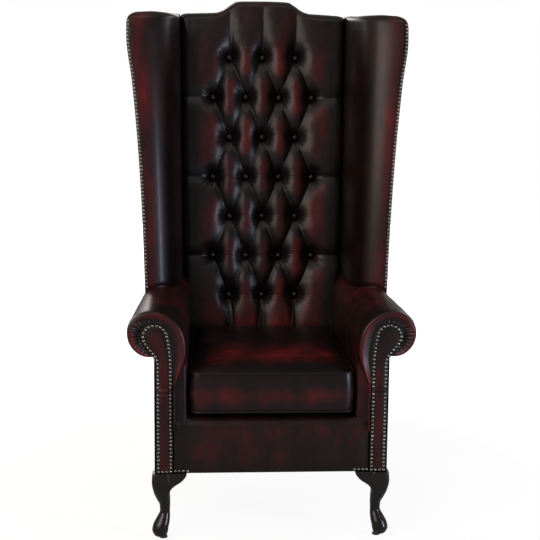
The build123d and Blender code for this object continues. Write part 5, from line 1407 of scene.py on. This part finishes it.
def makeLamps():
    for name, (place, target, size, power, colour) in lamps.items():
        lamp = bpy.data.lights.new(name, "AREA")
        lamp.shape = "RECTANGLE"
        lamp.size, lamp.size_y = size
        lamp.energy = power
        lamp.color = toLinear(colour)[:3]
        holder = addObject(name, lamp)
        holder.location = place
        holder.rotation_euler = (Vector(target) - Vector(place)).to_track_quat("-Z", "Y").to_euler()


def seenDirectly(tree):  # where the eye sees the backdrop: in full, and fainter in the wax and lacquer
    path = addNode(tree, "ShaderNodeLightPath").outputs
    gloss = addNode(
        tree, "ShaderNodeMath", {0: path["Is Glossy Ray"], 1: studio["inGloss"]}, operation="MULTIPLY"
    ).outputs[0]
    straight = addNode(
        tree, "ShaderNodeMath", {0: path["Is Camera Ray"], 1: path["Is Transmission Ray"]},
        operation="MAXIMUM",
    ).outputs[0]
    return addNode(tree, "ShaderNodeMath", {0: straight, 1: gloss}, operation="MAXIMUM").outputs[0]


def makeWorld():
    world = bpy.data.worlds.new("studioWorld")
    bpy.context.scene.world = world
    world.use_nodes = True
    tree = world.node_tree
    tree.nodes.clear()
    light = addNode(
        tree, "ShaderNodeBackground",
        {"Color": toLinear(studio["worldLight"]), "Strength": studio["worldStrength"]},
    ).outputs[0]
    white = addNode(
        tree, "ShaderNodeBackground", {"Color": toLinear(studio["white"]), "Strength": 1.0}
    ).outputs[0]
    mixed = addNode(tree, "ShaderNodeMixShader", {0: seenDirectly(tree), 1: light, 2: white}).outputs[0]
    addNode(tree, "ShaderNodeOutputWorld", {"Surface": mixed})


def makeFloor():
    material, tree, shader = newMaterial("paleStudioFloor")
    shader.inputs["Base Color"].default_value = toLinear(studio["floor"])
    shader.inputs["Roughness"].default_value = 0.8
    glow = addNode(
        tree, "ShaderNodeEmission", {"Color": toLinear(studio["white"]), "Strength": studio["floorGlow"]}
    ).outputs[0]
    place = addNode(tree, "ShaderNodeTexCoord").outputs["Object"]
    far = addNode(tree, "ShaderNodeVectorMath", {0: place}, operation="LENGTH").outputs["Value"]
    whiter = addNode(
        tree, "ShaderNodeMapRange",
        {"Value": far, 1: studio["nearM"], 2: studio["farM"], 3: studio["glowNear"], 4: studio["glowFar"]},
    ).outputs[0]
    share = addNode(
        tree, "ShaderNodeMath", {0: seenDirectly(tree), 1: whiter}, operation="MULTIPLY"
    ).outputs[0]
    mixed = addNode(tree, "ShaderNodeMixShader", {0: share, 1: shader.outputs[0], 2: glow}).outputs[0]
    tree.links.new(mixed, tree.nodes["Material Output"].inputs["Surface"])
    makeMesh("studioFloor", studio["floorCorners"], [(0, 1, 2, 3)], material)


makeCamera()
makeLamps()
makeWorld()
makeFloor()
print("camera, light and floor made")

# the frame's own pieces, each in the finish of its slot
ownFinish = {"back_webbing": jute, "back_hessian": jute, "button_twines": twine}
for row in frame["record"]["subparts"]:
    node = nodes[row["node"]]
    finish = ownFinish.get(row["node"], finishOf[row["material_slot"]])
    if not node.material_slots:
        node.data.materials.append(finish)
    for place in node.material_slots:
        place.material = finish

bpy.context.scene.view_settings.view_transform = "Standard"
